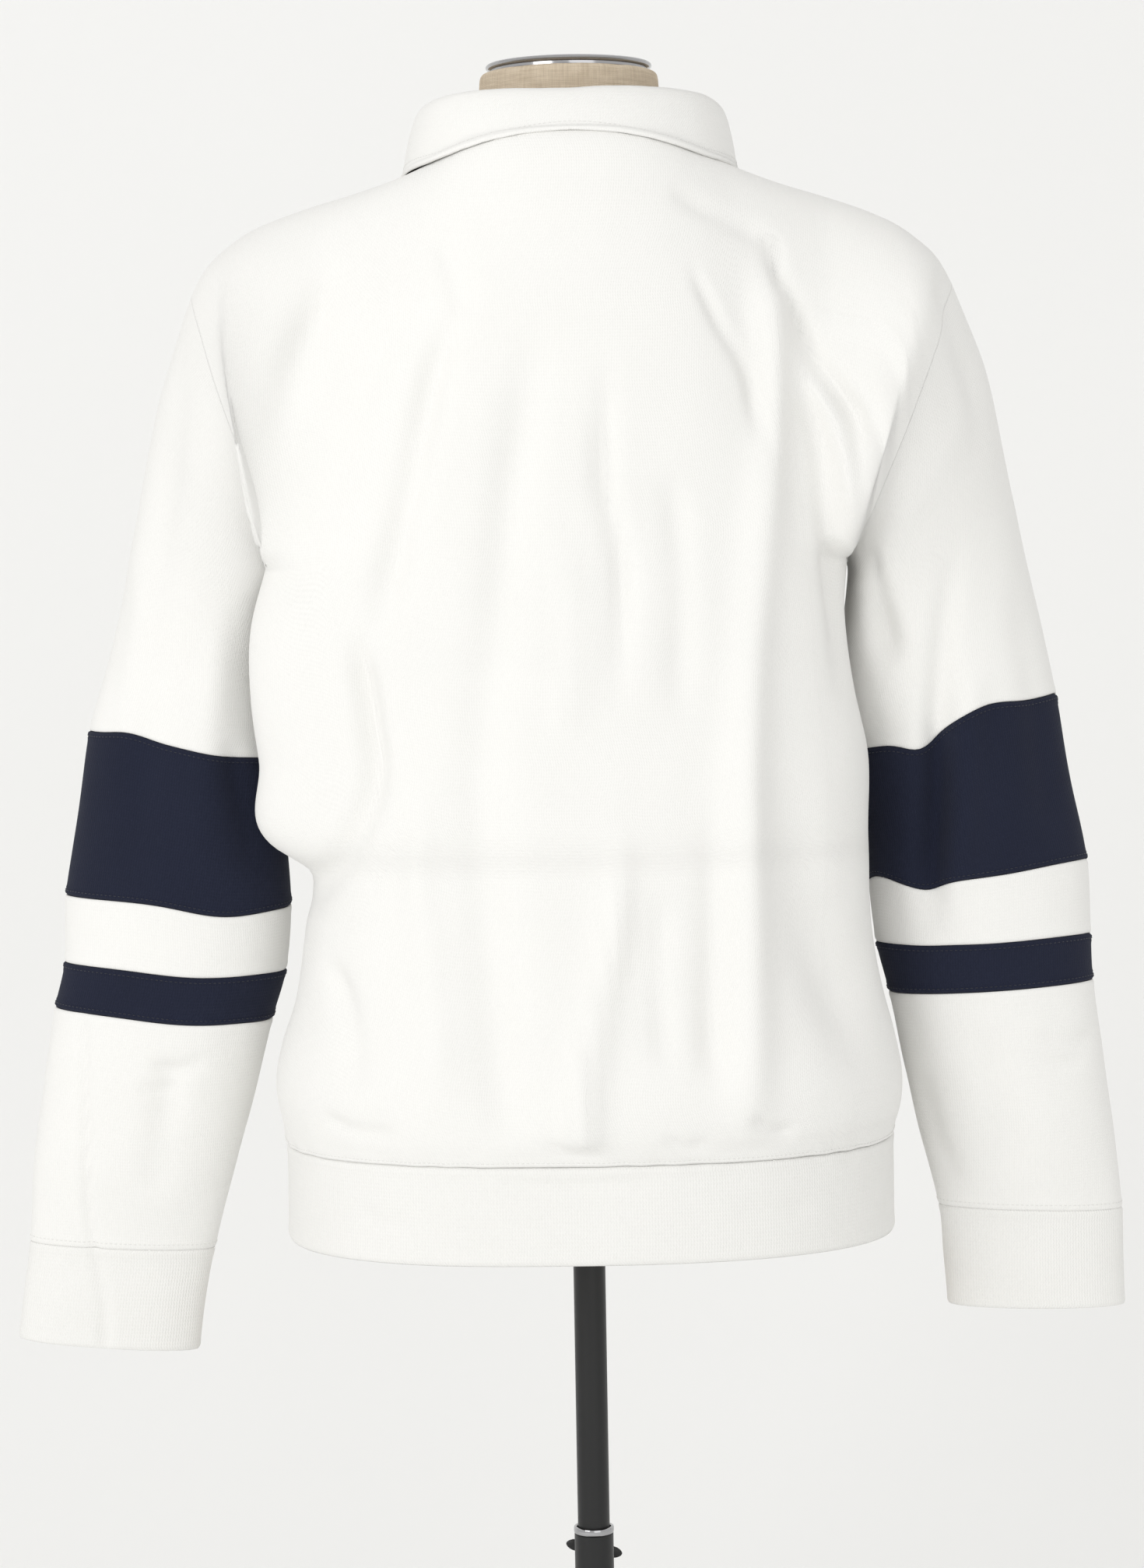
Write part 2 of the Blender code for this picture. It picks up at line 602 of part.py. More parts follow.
def form_rings():
    """Return the dress form's sections from its underside to the top of its neck."""
    sections = list(FORM)
    start = FORM[-1]
    neck = FORM_NECK[0]
    for r in range(1, FORM_SHOULDER_ROWS + 1):
        from_neck = 1 - r / FORM_SHOULDER_ROWS
        place_on_ridge = from_neck * (len(SHOULDER) - 1)
        ridge = Ridge(*between(SHOULDER, place_on_ridge))
        slope = between(SHOULDER, place_on_ridge + 0.1) - between(SHOULDER, place_on_ridge - 0.1)
        inward = np.array((slope[1], -slope[0])) / np.hypot(*slope) * (CLOTH + FORM_REST_GAP)
        half = ridge.x + inward[0]
        z = ridge.z + inward[1] - neck_ease(ridge.x)
        if z <= start.z + 0.008 or z >= neck.z - 0.004:
            continue
        share = (z - start.z) / (neck.z - start.z)
        depth = math.sqrt(1 - share * share)
        back = neck.back + (start.back - neck.back) * depth
        front = neck.front + (start.front - neck.front) * depth
        sections.append(Section(z, half, back, front, 1.0, SHOULDER_SEAM_Y * share))
    return sections + list(FORM_NECK)


def add_form(parts, cutters, surfaces):
    """Add the linen torso with the pole's blind socket in its underside."""
    rows = []
    for section in form_rings():
        ring = []
        for k in range(FORM_SIDES):
            across, along = round_share(2 * math.pi * k / FORM_SIDES, section.power)
            face = BACK if along > 0 else FRONT
            y = section.middle - along * (section.back if face == BACK else section.front)
            point = (-across * section.half, y, section.z)
            if section.z > FORM_COVERED_Z and covered_by(surfaces[face], point, face):
                gap = CLOTH + FORM_LIFT + neck_ease(point[0])
                point = clear_of(surfaces[face], point, gap, -1)
            ring.append(tuple(point))
        rows.append(ring)
    mesh = mesh_from_grid("form_torso", np.array(rows)[::-1], True)
    shell = bmesh.new()
    shell.from_mesh(mesh)
    bmesh.ops.holes_fill(shell, edges=shell.edges)
    bmesh.ops.recalc_face_normals(shell, faces=shell.faces)
    shell.to_mesh(mesh)
    shell.free()
    torso = place("form_torso", mesh, "linen", parts)
    socket = cylinder("pole_socket", TUBE_BORE, POLE_SOCKET_DEPTH * 2, FORM_UNDERSIDE_Z, None, cutters)
    cut(torso, socket)


def add_neck_cap(parts):
    """Add the chrome disc on the neck: a round-edged plate on a narrower step."""
    top = FORM_TOP_Z + RUN_GAP + CAP_STEP + CAP_THICKNESS
    low = FORM_TOP_Z + RUN_GAP
    profile = (
        (0.0, top),
        (CAP_RADIUS - 0.0020, top),
        (CAP_RADIUS - 0.0006, top - 0.0006),
        (CAP_RADIUS, top - 0.0020),
        (CAP_RADIUS, low + CAP_STEP + 0.0010),
        (CAP_RADIUS - 0.0010, low + CAP_STEP),
        (CAP_RADIUS - 0.0035, low + CAP_STEP),
        (CAP_RADIUS - 0.0035, low),
        (0.0, low),
    )
    turned("neck_cap", profile, "chrome", parts)


def turned(name, profile, finish, parts, closed=False):
    """Add a solid of revolution about Z from its profile, given top to bottom down its outer side."""
    mesh = bpy.data.meshes.new(name)
    count = len(profile)
    edges = [(k, k + 1) for k in range(count - 1)] + ([(count - 1, 0)] if closed else [])
    mesh.from_pydata([(radius, 0, z) for radius, z in profile], edges, [])
    obj = place(name, mesh, finish, parts)
    screw = obj.modifiers.new("turn", "SCREW")
    screw.steps = ROUND_STEPS
    screw.render_steps = ROUND_STEPS
    screw.use_merge_vertices = True
    screw.merge_threshold = 0.00005
    return obj


def cylinder(name, radius, length, middle_z, finish, collection):
    """Add an upright cylinder; without a finish it is a cutter."""
    shape = bmesh.new()
    sizes = {"radius1": radius, "radius2": radius, "depth": length}
    bmesh.ops.create_cone(shape, cap_ends=True, segments=ROUND_STEPS, **sizes)
    mesh = bpy.data.meshes.new(name)
    shape.to_mesh(mesh)
    shape.free()
    obj = place(name, mesh, finish, collection)
    obj.location = (0, 0, middle_z)
    if not finish:
        hide_helper(obj)
    return obj


def hide_helper(obj):
    """Keep a cutter out of the model."""
    obj.hide_render = True
    obj.display_type = "WIRE"


def cut(obj, cutter):
    """Cut one object out of another."""
    boolean = obj.modifiers.new(cutter.name, "BOOLEAN")
    boolean.operation = "DIFFERENCE"
    boolean.object = cutter


def add_stand(parts, cutters):
    """Add the base, the outer tube with its rim, and the pole that slides in it."""
    wall = TUBE_RADIUS + RUN_GAP
    floor = 0.006
    base_profile = (
        (wall, BOSS_HEIGHT),
        (BOSS_RADIUS - 0.003, BOSS_HEIGHT),
        (BOSS_RADIUS, BOSS_HEIGHT - 0.003),
        (BOSS_RADIUS, BASE_THICKNESS + 0.008),
        (BOSS_RADIUS + 0.003, BASE_THICKNESS + 0.003),
        (BOSS_RADIUS + 0.010, BASE_THICKNESS),
        (BASE_RADIUS - 0.006, BASE_THICKNESS - 0.004),
        (BASE_RADIUS - 0.001, BASE_THICKNESS - 0.007),
        (BASE_RADIUS, BASE_THICKNESS - 0.010),
        (BASE_RADIUS - 0.001, 0.0),
        (0.0, 0.0),
    )
    pocket = ((0.0, floor), (wall, floor))
    turned("base_plate", pocket + base_profile, "black_metal", parts)
    tube_profile = (
        (TUBE_BORE, TUBE_TOP_Z),
        (TUBE_RADIUS, TUBE_TOP_Z),
        (TUBE_RADIUS, floor + RUN_GAP),
        (TUBE_BORE, floor + RUN_GAP),
    )
    tube = turned("outer_tube", tube_profile, "black_metal", parts, closed=True)
    rim_low = TUBE_TOP_Z + RUN_GAP
    rim_profile = (
        (TUBE_BORE, rim_low + RIM_HEIGHT - 0.0004),
        (TUBE_BORE + 0.0005, rim_low + RIM_HEIGHT),
        (RIM_RADIUS - 0.0006, rim_low + RIM_HEIGHT),
        (RIM_RADIUS, rim_low + RIM_HEIGHT - 0.0006),
        (RIM_RADIUS, rim_low),
        (TUBE_BORE, rim_low),
    )
    turned("tube_rim", rim_profile, "chrome", parts, closed=True)
    pole_top = FORM_UNDERSIDE_Z + POLE_SOCKET_DEPTH - RUN_GAP
    length = pole_top - POLE_BOTTOM_Z
    cylinder("pole", POLE_RADIUS, length, (pole_top + POLE_BOTTOM_Z) / 2, "black_metal", parts)
    hole = cylinder("screw_hole", SCREW_RADIUS + 0.0004, TUBE_RADIUS, 0, None, cutters)
    hole.rotation_euler = (math.pi / 2, 0, 0)
    hole.location = (0, TUBE_RADIUS, KNOB_Z)
    cut(tube, hole)


def add_knob(parts, cutters):
    """Add the clamp knob on the front of the tube: screw, hub and two flat wings in one piece."""
    tip_y = POLE_RADIUS + RUN_GAP
    hub_y, hub_length, hub_radius = TUBE_RADIUS + 0.0010, 0.0120, 0.0065
    wing_half_span, wing_half_height, wing_half_thickness = 0.0195, 0.0060, 0.0022
    screw_length = hub_y + hub_length / 2 - tip_y
    shapes = (
        ("clamp_knob", SCREW_RADIUS, screw_length, tip_y + screw_length / 2),
        ("knob_hub", hub_radius, hub_length, hub_y + hub_length / 2),
    )
    made = []
    for name, radius, length, middle_y in shapes:
        collection = parts if name == "clamp_knob" else cutters
        obj = cylinder(name, radius, length, 0, "black_metal", collection)
        obj.data.transform(Matrix.Rotation(math.pi / 2, 4, "X"))
        obj.location = (0, middle_y, KNOB_Z)
        made.append(obj)
    knob, hub = made
    wings = bpy.data.meshes.new("knob_wings")
    shape = bmesh.new()
    bmesh.ops.create_uvsphere(shape, u_segments=20, v_segments=12, radius=1.0)
    half_size = (wing_half_span, wing_half_thickness, wing_half_height)
    bmesh.ops.scale(shape, vec=half_size, verts=shape.verts)
    shape.to_mesh(wings)
    shape.free()
    wing = place("knob_wings", wings, "black_metal", cutters)
    wing.location = (0, hub_y + hub_length * 0.62, KNOB_Z)
    wing.rotation_euler = (0, KNOB_TURN, 0)
    for helper in (hub, wing):
        hide_helper(helper)
        union = knob.modifiers.new(helper.name, "BOOLEAN")
        union.operation = "UNION"
        union.object = helper


def new_collection(name):
    """Add an empty collection to the scene."""
    collection = bpy.data.collections.new(name)
    bpy.context.scene.collection.children.link(collection)
    return collection


def main():
    """Build the whole object."""
    for obj in list(bpy.data.objects):
        bpy.data.objects.remove(obj, do_unlink=True)
    parts = new_collection("sweatshirt_on_form")
    cutters = new_collection("cutters")
    surfaces = add_panels(parts)
    add_sleeves(parts)
    add_hem(parts)
    add_collar(parts, surfaces)
    add_form(parts, cutters, surfaces)
    add_neck_cap(parts)
    add_stand(parts, cutters)
    add_knob(parts, cutters)


main()
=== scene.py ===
"""The looks of a sweatshirt that hangs on a limbless linen dress form and its pole stand.

Metres, +Z up. The garment's back faces -Y and its front faces +Y. Each piece of cloth is a grid of
points worked out from the garment's sections, creased by listed folds, and given a thin wall.
Its seams are rolled edges with rows of stitches beside them.
"""

import functools
import logging
import math
from collections import namedtuple
from dataclasses import dataclass, field
from enum import Enum

import bmesh
import bpy
import numpy as np
from mathutils import Matrix, Vector, noise
from mathutils.bvhtree import BVHTree

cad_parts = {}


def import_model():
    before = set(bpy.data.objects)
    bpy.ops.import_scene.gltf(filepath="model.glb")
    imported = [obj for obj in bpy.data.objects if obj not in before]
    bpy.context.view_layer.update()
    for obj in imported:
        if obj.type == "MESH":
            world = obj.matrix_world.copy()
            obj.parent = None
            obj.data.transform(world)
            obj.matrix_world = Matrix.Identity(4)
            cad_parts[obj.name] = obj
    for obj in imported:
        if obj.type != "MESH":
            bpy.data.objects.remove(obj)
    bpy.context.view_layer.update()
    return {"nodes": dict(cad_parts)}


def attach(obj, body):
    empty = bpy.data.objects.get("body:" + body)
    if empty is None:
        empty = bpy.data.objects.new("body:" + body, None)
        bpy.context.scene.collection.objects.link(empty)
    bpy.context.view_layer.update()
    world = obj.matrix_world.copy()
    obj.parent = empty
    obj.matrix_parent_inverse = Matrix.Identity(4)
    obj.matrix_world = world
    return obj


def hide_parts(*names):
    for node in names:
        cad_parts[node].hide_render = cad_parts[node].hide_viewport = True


LOG = logging.getLogger("sweatshirt")
UV_NAME = "cloth"
COURSE_TO_WALE = 1.35


class Face(Enum):
    """A side of the garment."""

    BACK = -1
    FRONT = 1


class Side(Enum):
    """The garment's left or right, as seen from behind."""

    LEFT = -1
    RIGHT = 1


Level = namedtuple("Level", "z left right back front left_tuck right_tuck lobe")
BODY = (
    Level(0.806, 0.201, 0.205, 0.149, 0.142, 0.000, 0.000, 0.000),
    Level(0.822, 0.205, 0.212, 0.155, 0.149, 0.004, 0.004, 0.000),
    Level(0.845, 0.210, 0.216, 0.157, 0.152, 0.008, 0.008, 0.000),
    Level(0.876, 0.207, 0.213, 0.152, 0.150, 0.012, 0.013, 0.000),
    Level(0.902, 0.200, 0.208, 0.148, 0.147, 0.016, 0.017, 0.000),
    Level(0.950, 0.193, 0.200, 0.144, 0.144, 0.016, 0.019, 0.000),
    Level(0.975, 0.189, 0.199, 0.1422, 0.1432, 0.012, 0.020, 0.000),
    Level(0.990, 0.189, 0.199, 0.1409, 0.1425, 0.011, 0.020, 0.000),
    Level(1.007, 0.190, 0.199, 0.1392, 0.1416, 0.011, 0.021, 0.023),
    Level(1.063, 0.200, 0.200, 0.1325, 0.1385, 0.020, 0.022, 0.023),
    Level(1.105, 0.208, 0.193, 0.1280, 0.1355, 0.028, 0.025, 0.022),
    Level(1.153, 0.218, 0.190, 0.1240, 0.1330, 0.035, 0.022, 0.013),
    Level(1.188, 0.222, 0.186, 0.122, 0.132, 0.038, 0.008, 0.000),
)
Ridge = namedtuple("Ridge", "x z")
SHOULDER = (
    Ridge(0.091, 1.4460),
    Ridge(0.140, 1.4335),
    Ridge(0.198, 1.4145),
    Ridge(0.232, 1.3960),
    Ridge(0.243, 1.3830),
    Ridge(0.250, 1.3680),
)
Ring = namedtuple("Ring", "out_x out_z in_x in_z behind ahead middle")
LEFT_RINGS = (
    Ring(0.263, 1.338, 0.191, 1.180, 0.078, 0.078, 0.002),
    Ring(0.275, 1.305, 0.197, 1.166, 0.070, 0.074, 0.006),
    Ring(0.285, 1.266, 0.201, 1.146, 0.060, 0.068, 0.010),
    Ring(0.294, 1.222, 0.203, 1.122, 0.052, 0.062, 0.012),
    Ring(0.304, 1.174, 0.204, 1.098, 0.048, 0.057, 0.012),
    Ring(0.316, 1.126, 0.203, 1.078, 0.046, 0.053, 0.012),
    Ring(0.329, 1.082, 0.201, 1.062, 0.046, 0.050, 0.011),
    Ring(0.338, 1.028, 0.198, 1.014, 0.047, 0.049, 0.011),
    Ring(0.348, 0.972, 0.196, 0.963, 0.046, 0.048, 0.012),
    Ring(0.350, 0.927, 0.201, 0.919, 0.044, 0.046, 0.013),
    Ring(0.357, 0.896, 0.211, 0.886, 0.043, 0.045, 0.014),
    Ring(0.366, 0.845, 0.223, 0.838, 0.040, 0.042, 0.015),
    Ring(0.375, 0.793, 0.237, 0.788, 0.036, 0.038, 0.016),
    Ring(0.380, 0.736, 0.254, 0.729, 0.026, 0.028, 0.018),
    Ring(0.385, 0.702, 0.262, 0.694, 0.025, 0.027, 0.018),
    Ring(0.389, 0.670, 0.267, 0.660, 0.024, 0.026, 0.018),
)
RIGHT_RINGS = (
    Ring(0.262, 1.342, 0.180, 1.180, 0.078, 0.078, 0.000),
    Ring(0.274, 1.310, 0.179, 1.166, 0.073, 0.074, 0.002),
    Ring(0.283, 1.270, 0.177, 1.148, 0.065, 0.068, 0.005),
    Ring(0.291, 1.228, 0.175, 1.128, 0.058, 0.062, 0.008),
    Ring(0.300, 1.182, 0.175, 1.106, 0.053, 0.057, 0.010),
    Ring(0.310, 1.138, 0.178, 1.083, 0.050, 0.053, 0.011),
    Ring(0.320, 1.091, 0.183, 1.060, 0.048, 0.050, 0.011),
    Ring(0.330, 1.034, 0.189, 1.014, 0.047, 0.048, 0.012),
    Ring(0.339, 0.980, 0.192, 0.970, 0.045, 0.046, 0.012),
    Ring(0.341, 0.932, 0.197, 0.930, 0.043, 0.044, 0.013),
    Ring(0.343, 0.902, 0.206, 0.896, 0.042, 0.043, 0.014),
    Ring(0.350, 0.850, 0.216, 0.846, 0.039, 0.040, 0.015),
    Ring(0.356, 0.803, 0.226, 0.799, 0.035, 0.036, 0.016),
    Ring(0.362, 0.746, 0.238, 0.750, 0.026, 0.027, 0.018),
    Ring(0.363, 0.714, 0.241, 0.716, 0.025, 0.026, 0.018),
    Ring(0.364, 0.680, 0.244, 0.682, 0.024, 0.025, 0.018),
)
Sag = namedtuple("Sag", "x z across along drop")
SAGS = (
    Sag(0.225, 1.070, 0.015, 0.040, 0.0090),
    Sag(0.268, 1.085, 0.030, 0.040, -0.0110),
    Sag(0.322, 1.090, 0.030, 0.040, -0.0050),
    Sag(0.228, 0.975, 0.013, 0.028, 0.0060),
    Sag(0.196, 0.975, 0.012, 0.028, -0.0050),
    Sag(0.330, 0.970, 0.045, 0.050, -0.0050),
    Sag(-0.300, 1.075, 0.018, 0.030, -0.0040),
    Sag(-0.240, 1.060, 0.025, 0.030, 0.0030),
    Sag(-0.238, 0.966, 0.036, 0.030, 0.0075),
    Sag(-0.262, 0.905, 0.045, 0.030, 0.0050),
)
Bend = namedtuple("Bend", "out up fall")
COLLAR_BENDS = (
    Bend(0.00, 0.00, 0.00),
    Bend(0.02, 0.50, 0.00),
    Bend(0.12, 0.86, 0.00),
    Bend(0.34, 1.00, 0.00),
    Bend(0.60, 1.00, 0.08),
    Bend(0.80, 1.00, 0.38),
    Bend(0.92, 1.00, 0.70),
    Bend(1.00, 1.00, 1.00),
)
Girth = namedtuple("Girth", "stand edge reach")
COLLAR_GIRTHS = (
    Girth(0.024, -0.0040, 0.018),
    Girth(0.029, -0.0140, 0.020),
    Girth(0.034, -0.0100, 0.021),
    Girth(0.030, -0.0160, 0.022),
    Girth(0.022, -0.0240, 0.026),
)


def between(rows: tuple, place: float) -> np.ndarray:
    """Return every column of a table at a fractional row number, on a smooth curve."""
    table = np.asarray(rows, dtype=float)
    last = len(table) - 1
    place = min(max(place, 0.0), float(last))
    start = min(int(place), last - 1)
    t = place - start
    before, low, high, after = (table[min(max(start + k, 0), last)] for k in (-1, 0, 1, 2))
    linear = (high - before) * t
    square = (2 * before - 5 * low + 4 * high - after) * t**2
    cubic = (3 * low - before - 3 * high + after) * t**3
    return 0.5 * (2 * low + linear + square + cubic)


def smooth(share: np.ndarray) -> np.ndarray:
    """Ease from 0 to 1 as the share does."""
    share = np.clip(share, 0.0, 1.0)
    return share * share * (3 - 2 * share)


def round_share(angle: float, power: float) -> tuple[float, float]:
    """Return the cosine and sine of a superellipse."""
    cosine, sine = math.cos(angle), math.sin(angle)
    across = math.copysign(abs(cosine) ** power, cosine)
    along = math.copysign(abs(sine) ** power, sine)
    return across, along


def bell(distance: np.ndarray, reach: float) -> np.ndarray:
    """Fall from 1 at no distance towards 0 past the reach."""
    return np.exp(-((distance / reach) ** 2))


@dataclass(frozen=True)
class Crease:
    """One fold of the cloth, along a path of (x, z) points as seen from behind.

    Attributes:
        path: the places that the fold's middle runs through.
        reach: how far it reaches to each side.
        height: how far it stands out; a trough is negative.
        lean: a ridge beside a trough, positive on the right of a path that runs down.
        start: the share of its length over which it rises at its first end.
        end: the same at its last end.
    """

    path: tuple
    reach: float
    height: float
    lean: float = 0.0
    start: float = 0.3
    end: float = 0.3

    def heights(self, x: np.ndarray, z: np.ndarray) -> np.ndarray:
        """Return the fold's height at each place.

        Args:
            x: the places' X.
            z: the places' Z.

        Returns:
            The heights, the same shape as x.
        """
        steps = 10 * (len(self.path) - 1)
        rows = [between(self.path, k / 10) for k in range(steps + 1)]
        spots = np.array(rows)
        nearest = np.full(x.shape, np.inf)
        along = np.zeros(x.shape)
        aside = np.zeros(x.shape)
        for k in range(steps):
            start, run = spots[k], spots[k + 1] - spots[k]
            length = float(np.hypot(*run)) + 1e-12
            share = ((x - start[0]) * run[0] + (z - start[1]) * run[1]) / length**2
            held = np.clip(share, 0.0, 1.0)
            dx, dz = x - start[0] - held * run[0], z - start[1] - held * run[1]
            distance = np.hypot(dx, dz)
            closer = distance < nearest
            nearest = np.where(closer, distance, nearest)
            turn = np.sign(run[1] * dx - run[0] * dz) * -1.0
            aside = np.where(closer, turn * distance, aside)
            along = np.where(closer, (k + held) / steps, along)
        envelope = smooth(along / self.start) * smooth((1 - along) / self.end)
        waver = 1 + 0.22 * np.sin(9.0 * along + 40 * self.reach + 7 * self.path[0][0])
        share = aside / (self.reach * (0.85 + 0.3 * along))
        swell = np.exp(-(share**2))
        return self.height * waver * envelope * (swell - self.lean * share * swell)


BACK_CREASES = (
    Crease(((-0.144, 1.385), (-0.165, 1.345), (-0.178, 1.310), (-0.186, 1.275), (-0.190, 1.245)),
           0.0130, -0.0075, 0.4, 0.3, 0.6),
    Crease(((-0.063, 1.360), (-0.086, 1.314), (-0.097, 1.269), (-0.105, 1.229), (-0.119, 1.175),
            (-0.130, 1.115)),
           0.0107, -0.0083, 0.5),
    Crease(((-0.142, 1.150), (-0.134, 1.100), (-0.131, 1.050), (-0.147, 1.010), (-0.173, 0.975),
            (-0.189, 0.958)),
           0.0098, -0.0096, 0.6, 0.15, 0.5),
    Crease(((0.024, 1.325), (0.020, 1.247), (0.027, 1.207), (0.031, 1.172), (0.025, 1.080)),
           0.0074, -0.0058, 0.7),
    Crease(((-0.019, 1.350), (-0.038, 1.238), (-0.049, 1.149), (-0.061, 1.049), (-0.054, 0.897),
            (-0.045, 0.815)),
           0.0156, -0.0064, 0.4, 0.2, 0.12),
    Crease(((0.028, 1.030), (0.023, 0.956), (0.012, 0.906), (0.001, 0.855), (-0.002, 0.812)),
           0.0107, 0.0077, 0.6, 0.3, 0.12),
    Crease(((0.074, 1.380), (0.094, 1.340), (0.113, 1.305), (0.117, 1.255)), 0.0049, -0.0045, 0.8),
    Crease(((0.126, 1.385), (0.128, 1.295), (0.119, 1.196), (0.111, 1.121), (0.107, 1.046),
            (0.107, 0.930), (0.106, 0.812)),
           0.0131, 0.0109, 0.3, 0.12, 0.10),
    Crease(((0.128, 1.398), (0.131, 1.380), (0.137, 1.355)), 0.0049, -0.0064, 0.6),
    Crease(((0.138, 1.371), (0.144, 1.347), (0.156, 1.319), (0.173, 1.294), (0.183, 1.272), (0.184, 1.225)),
           0.0066, -0.0077, 0.6),
    Crease(((0.148, 1.306), (0.165, 1.283), (0.175, 1.249), (0.180, 1.200)), 0.0057, 0.0058),
    Crease(((0.146, 1.300), (0.157, 1.265), (0.162, 1.220), (0.171, 1.155), (0.172, 1.090)),
           0.0074, -0.0077, 0.5),
    Crease(((0.124, 1.085), (0.137, 1.010), (0.150, 0.950), (0.170, 0.903), (0.196, 0.826)),
           0.0197, -0.0090, 0.3, 0.5),
    Crease(((0.086, 1.045), (0.083, 0.930), (0.084, 0.850)), 0.0098, -0.0058, 0.3, 0.5),
    Crease(((-0.100, 1.060), (-0.104, 0.980), (-0.096, 0.900), (-0.098, 0.830)), 0.0115, 0.0045),
    Crease(((-0.165, 0.940), (-0.150, 0.900), (-0.146, 0.850)), 0.0082, -0.0045, 0.4),
    Crease(((-0.010, 1.210), (-0.004, 1.140), (-0.010, 1.070)), 0.0074, 0.0036),
    Crease(((0.062, 1.250), (0.068, 1.170), (0.064, 1.080)), 0.0098, -0.0036, 0.4),
    Crease(((0.050, 0.985), (0.046, 0.925), (0.050, 0.860)), 0.0074, -0.0032, -0.4, 0.4),
    Crease(((-0.085, 1.400), (-0.075, 1.370), (-0.068, 1.345)), 0.0082, -0.0038),
    Crease(((0.060, 1.425), (0.100, 1.405), (0.128, 1.392)), 0.0066, -0.0036),
    Crease(((0.104, 0.838), (0.116, 0.829), (0.135, 0.825)), 0.0041, -0.0032, 0.6),
    Crease(((0.048, 0.826), (0.062, 0.820), (0.080, 0.822)), 0.0033, -0.0023, 0.5),
    Crease(((-0.172, 0.838), (-0.150, 0.830), (-0.120, 0.829)), 0.0041, -0.0026, 0.5),
    Crease(((-0.030, 0.824), (-0.010, 0.818), (0.010, 0.820)), 0.0033, -0.0019, 0.5),
)
FRONT_CREASES = (
    Crease(((-0.150, 1.360), (-0.142, 1.250), (-0.128, 1.120), (-0.122, 0.980), (-0.120, 0.850)),
           0.018, -0.0075, 0.4),
    Crease(((-0.052, 1.290), (-0.058, 1.180), (-0.044, 1.060), (-0.030, 0.930), (-0.022, 0.830)),
           0.016, 0.0060, 0.4),
    Crease(((0.058, 1.330), (0.072, 1.220), (0.082, 1.100), (0.088, 0.980), (0.090, 0.850)),
           0.018, -0.0070, 0.4),
    Crease(((0.152, 1.350), (0.150, 1.240), (0.148, 1.120), (0.140, 0.980), (0.134, 0.840)),
           0.014, 0.0065, 0.3),
    Crease(((-0.190, 1.330), (-0.180, 1.280), (-0.168, 1.230)), 0.009, -0.0050, 0.5),
    Crease(((0.196, 1.330), (0.188, 1.285), (0.172, 1.235)), 0.008, -0.0050, 0.5),
    Crease(((0.010, 1.290), (0.014, 1.220), (0.008, 1.150)), 0.010, -0.0035, 0.4),
    Crease(((-0.092, 1.330), (-0.098, 1.260), (-0.088, 1.190)), 0.011, -0.0035, 0.4),
    Crease(((0.030, 1.010), (0.024, 0.930), (0.032, 0.840)), 0.012, -0.0040, 0.4),
    Crease(((-0.165, 0.980), (-0.160, 0.910), (-0.168, 0.840)), 0.013, -0.0045, 0.4),
    Crease(((-0.080, 0.850), (-0.050, 0.832), (-0.020, 0.828)), 0.005, -0.0020, 0.5),
    Crease(((0.110, 0.842), (0.130, 0.830), (0.155, 0.828)), 0.005, -0.0022, 0.5),
)
LEFT_SLEEVE_BACK = (
    Crease(((-0.244, 1.360), (-0.262, 1.270), (-0.276, 1.170), (-0.284, 1.060), (-0.300, 0.980)),
           0.014, -0.0040, 0.4),
    Crease(((-0.232, 1.180), (-0.238, 1.130), (-0.246, 1.060), (-0.252, 0.985)),
           0.012, 0.0040, 0.3, 0.5, 0.3),
    Crease(((-0.296, 1.200), (-0.306, 1.130), (-0.314, 1.070)), 0.009, -0.0022, 0.4),
    Crease(((-0.232, 1.080), (-0.222, 1.030), (-0.214, 0.985)), 0.009, -0.0030, 0.5),
    Crease(((-0.334, 0.900), (-0.333, 0.839), (-0.334, 0.755), (-0.326, 0.700), (-0.326, 0.662)),
           0.004, -0.0022, 0.9, 0.1, 0.1),
    Crease(((-0.270, 0.870), (-0.280, 0.820), (-0.288, 0.765)), 0.012, -0.0030, 0.3),
    Crease(((-0.292, 0.862), (-0.272, 0.857), (-0.252, 0.864)), 0.005, -0.0020, 0.5),
    Crease(((-0.300, 0.848), (-0.285, 0.843), (-0.270, 0.846)), 0.004, -0.0014, 0.5),
)
RIGHT_SLEEVE_BACK = (
    Crease(((0.239, 1.376), (0.243, 1.354), (0.252, 1.328), (0.264, 1.292), (0.266, 1.245)),
           0.008, -0.0040, 0.5),
    Crease(((0.250, 1.200), (0.243, 1.140), (0.239, 1.085), (0.237, 1.030), (0.234, 0.970), (0.240, 0.925)),
           0.010, -0.0100, 0.7, 0.4, 0.3),
    Crease(((0.262, 1.120), (0.256, 1.070), (0.253, 1.010), (0.250, 0.960)), 0.010, 0.0050),
    Crease(((0.190, 1.200), (0.197, 1.168), (0.203, 1.140), (0.208, 1.110)), 0.009, -0.0080, 0.5),
    Crease(((0.290, 1.180), (0.302, 1.110), (0.312, 1.040), (0.318, 0.985)), 0.012, -0.0030, 0.4),
    Crease(((0.270, 0.880), (0.280, 0.820), (0.286, 0.765)), 0.013, -0.0030, 0.3),
    Crease(((0.300, 0.872), (0.325, 0.864), (0.346, 0.870)), 0.006, -0.0018, 0.5),
    Crease(((0.285, 0.858), (0.315, 0.850), (0.340, 0.853)), 0.005, -0.0014, 0.5),
    Crease(((0.222, 0.850), (0.236, 0.800), (0.250, 0.760)), 0.008, -0.0025, 0.3),
)
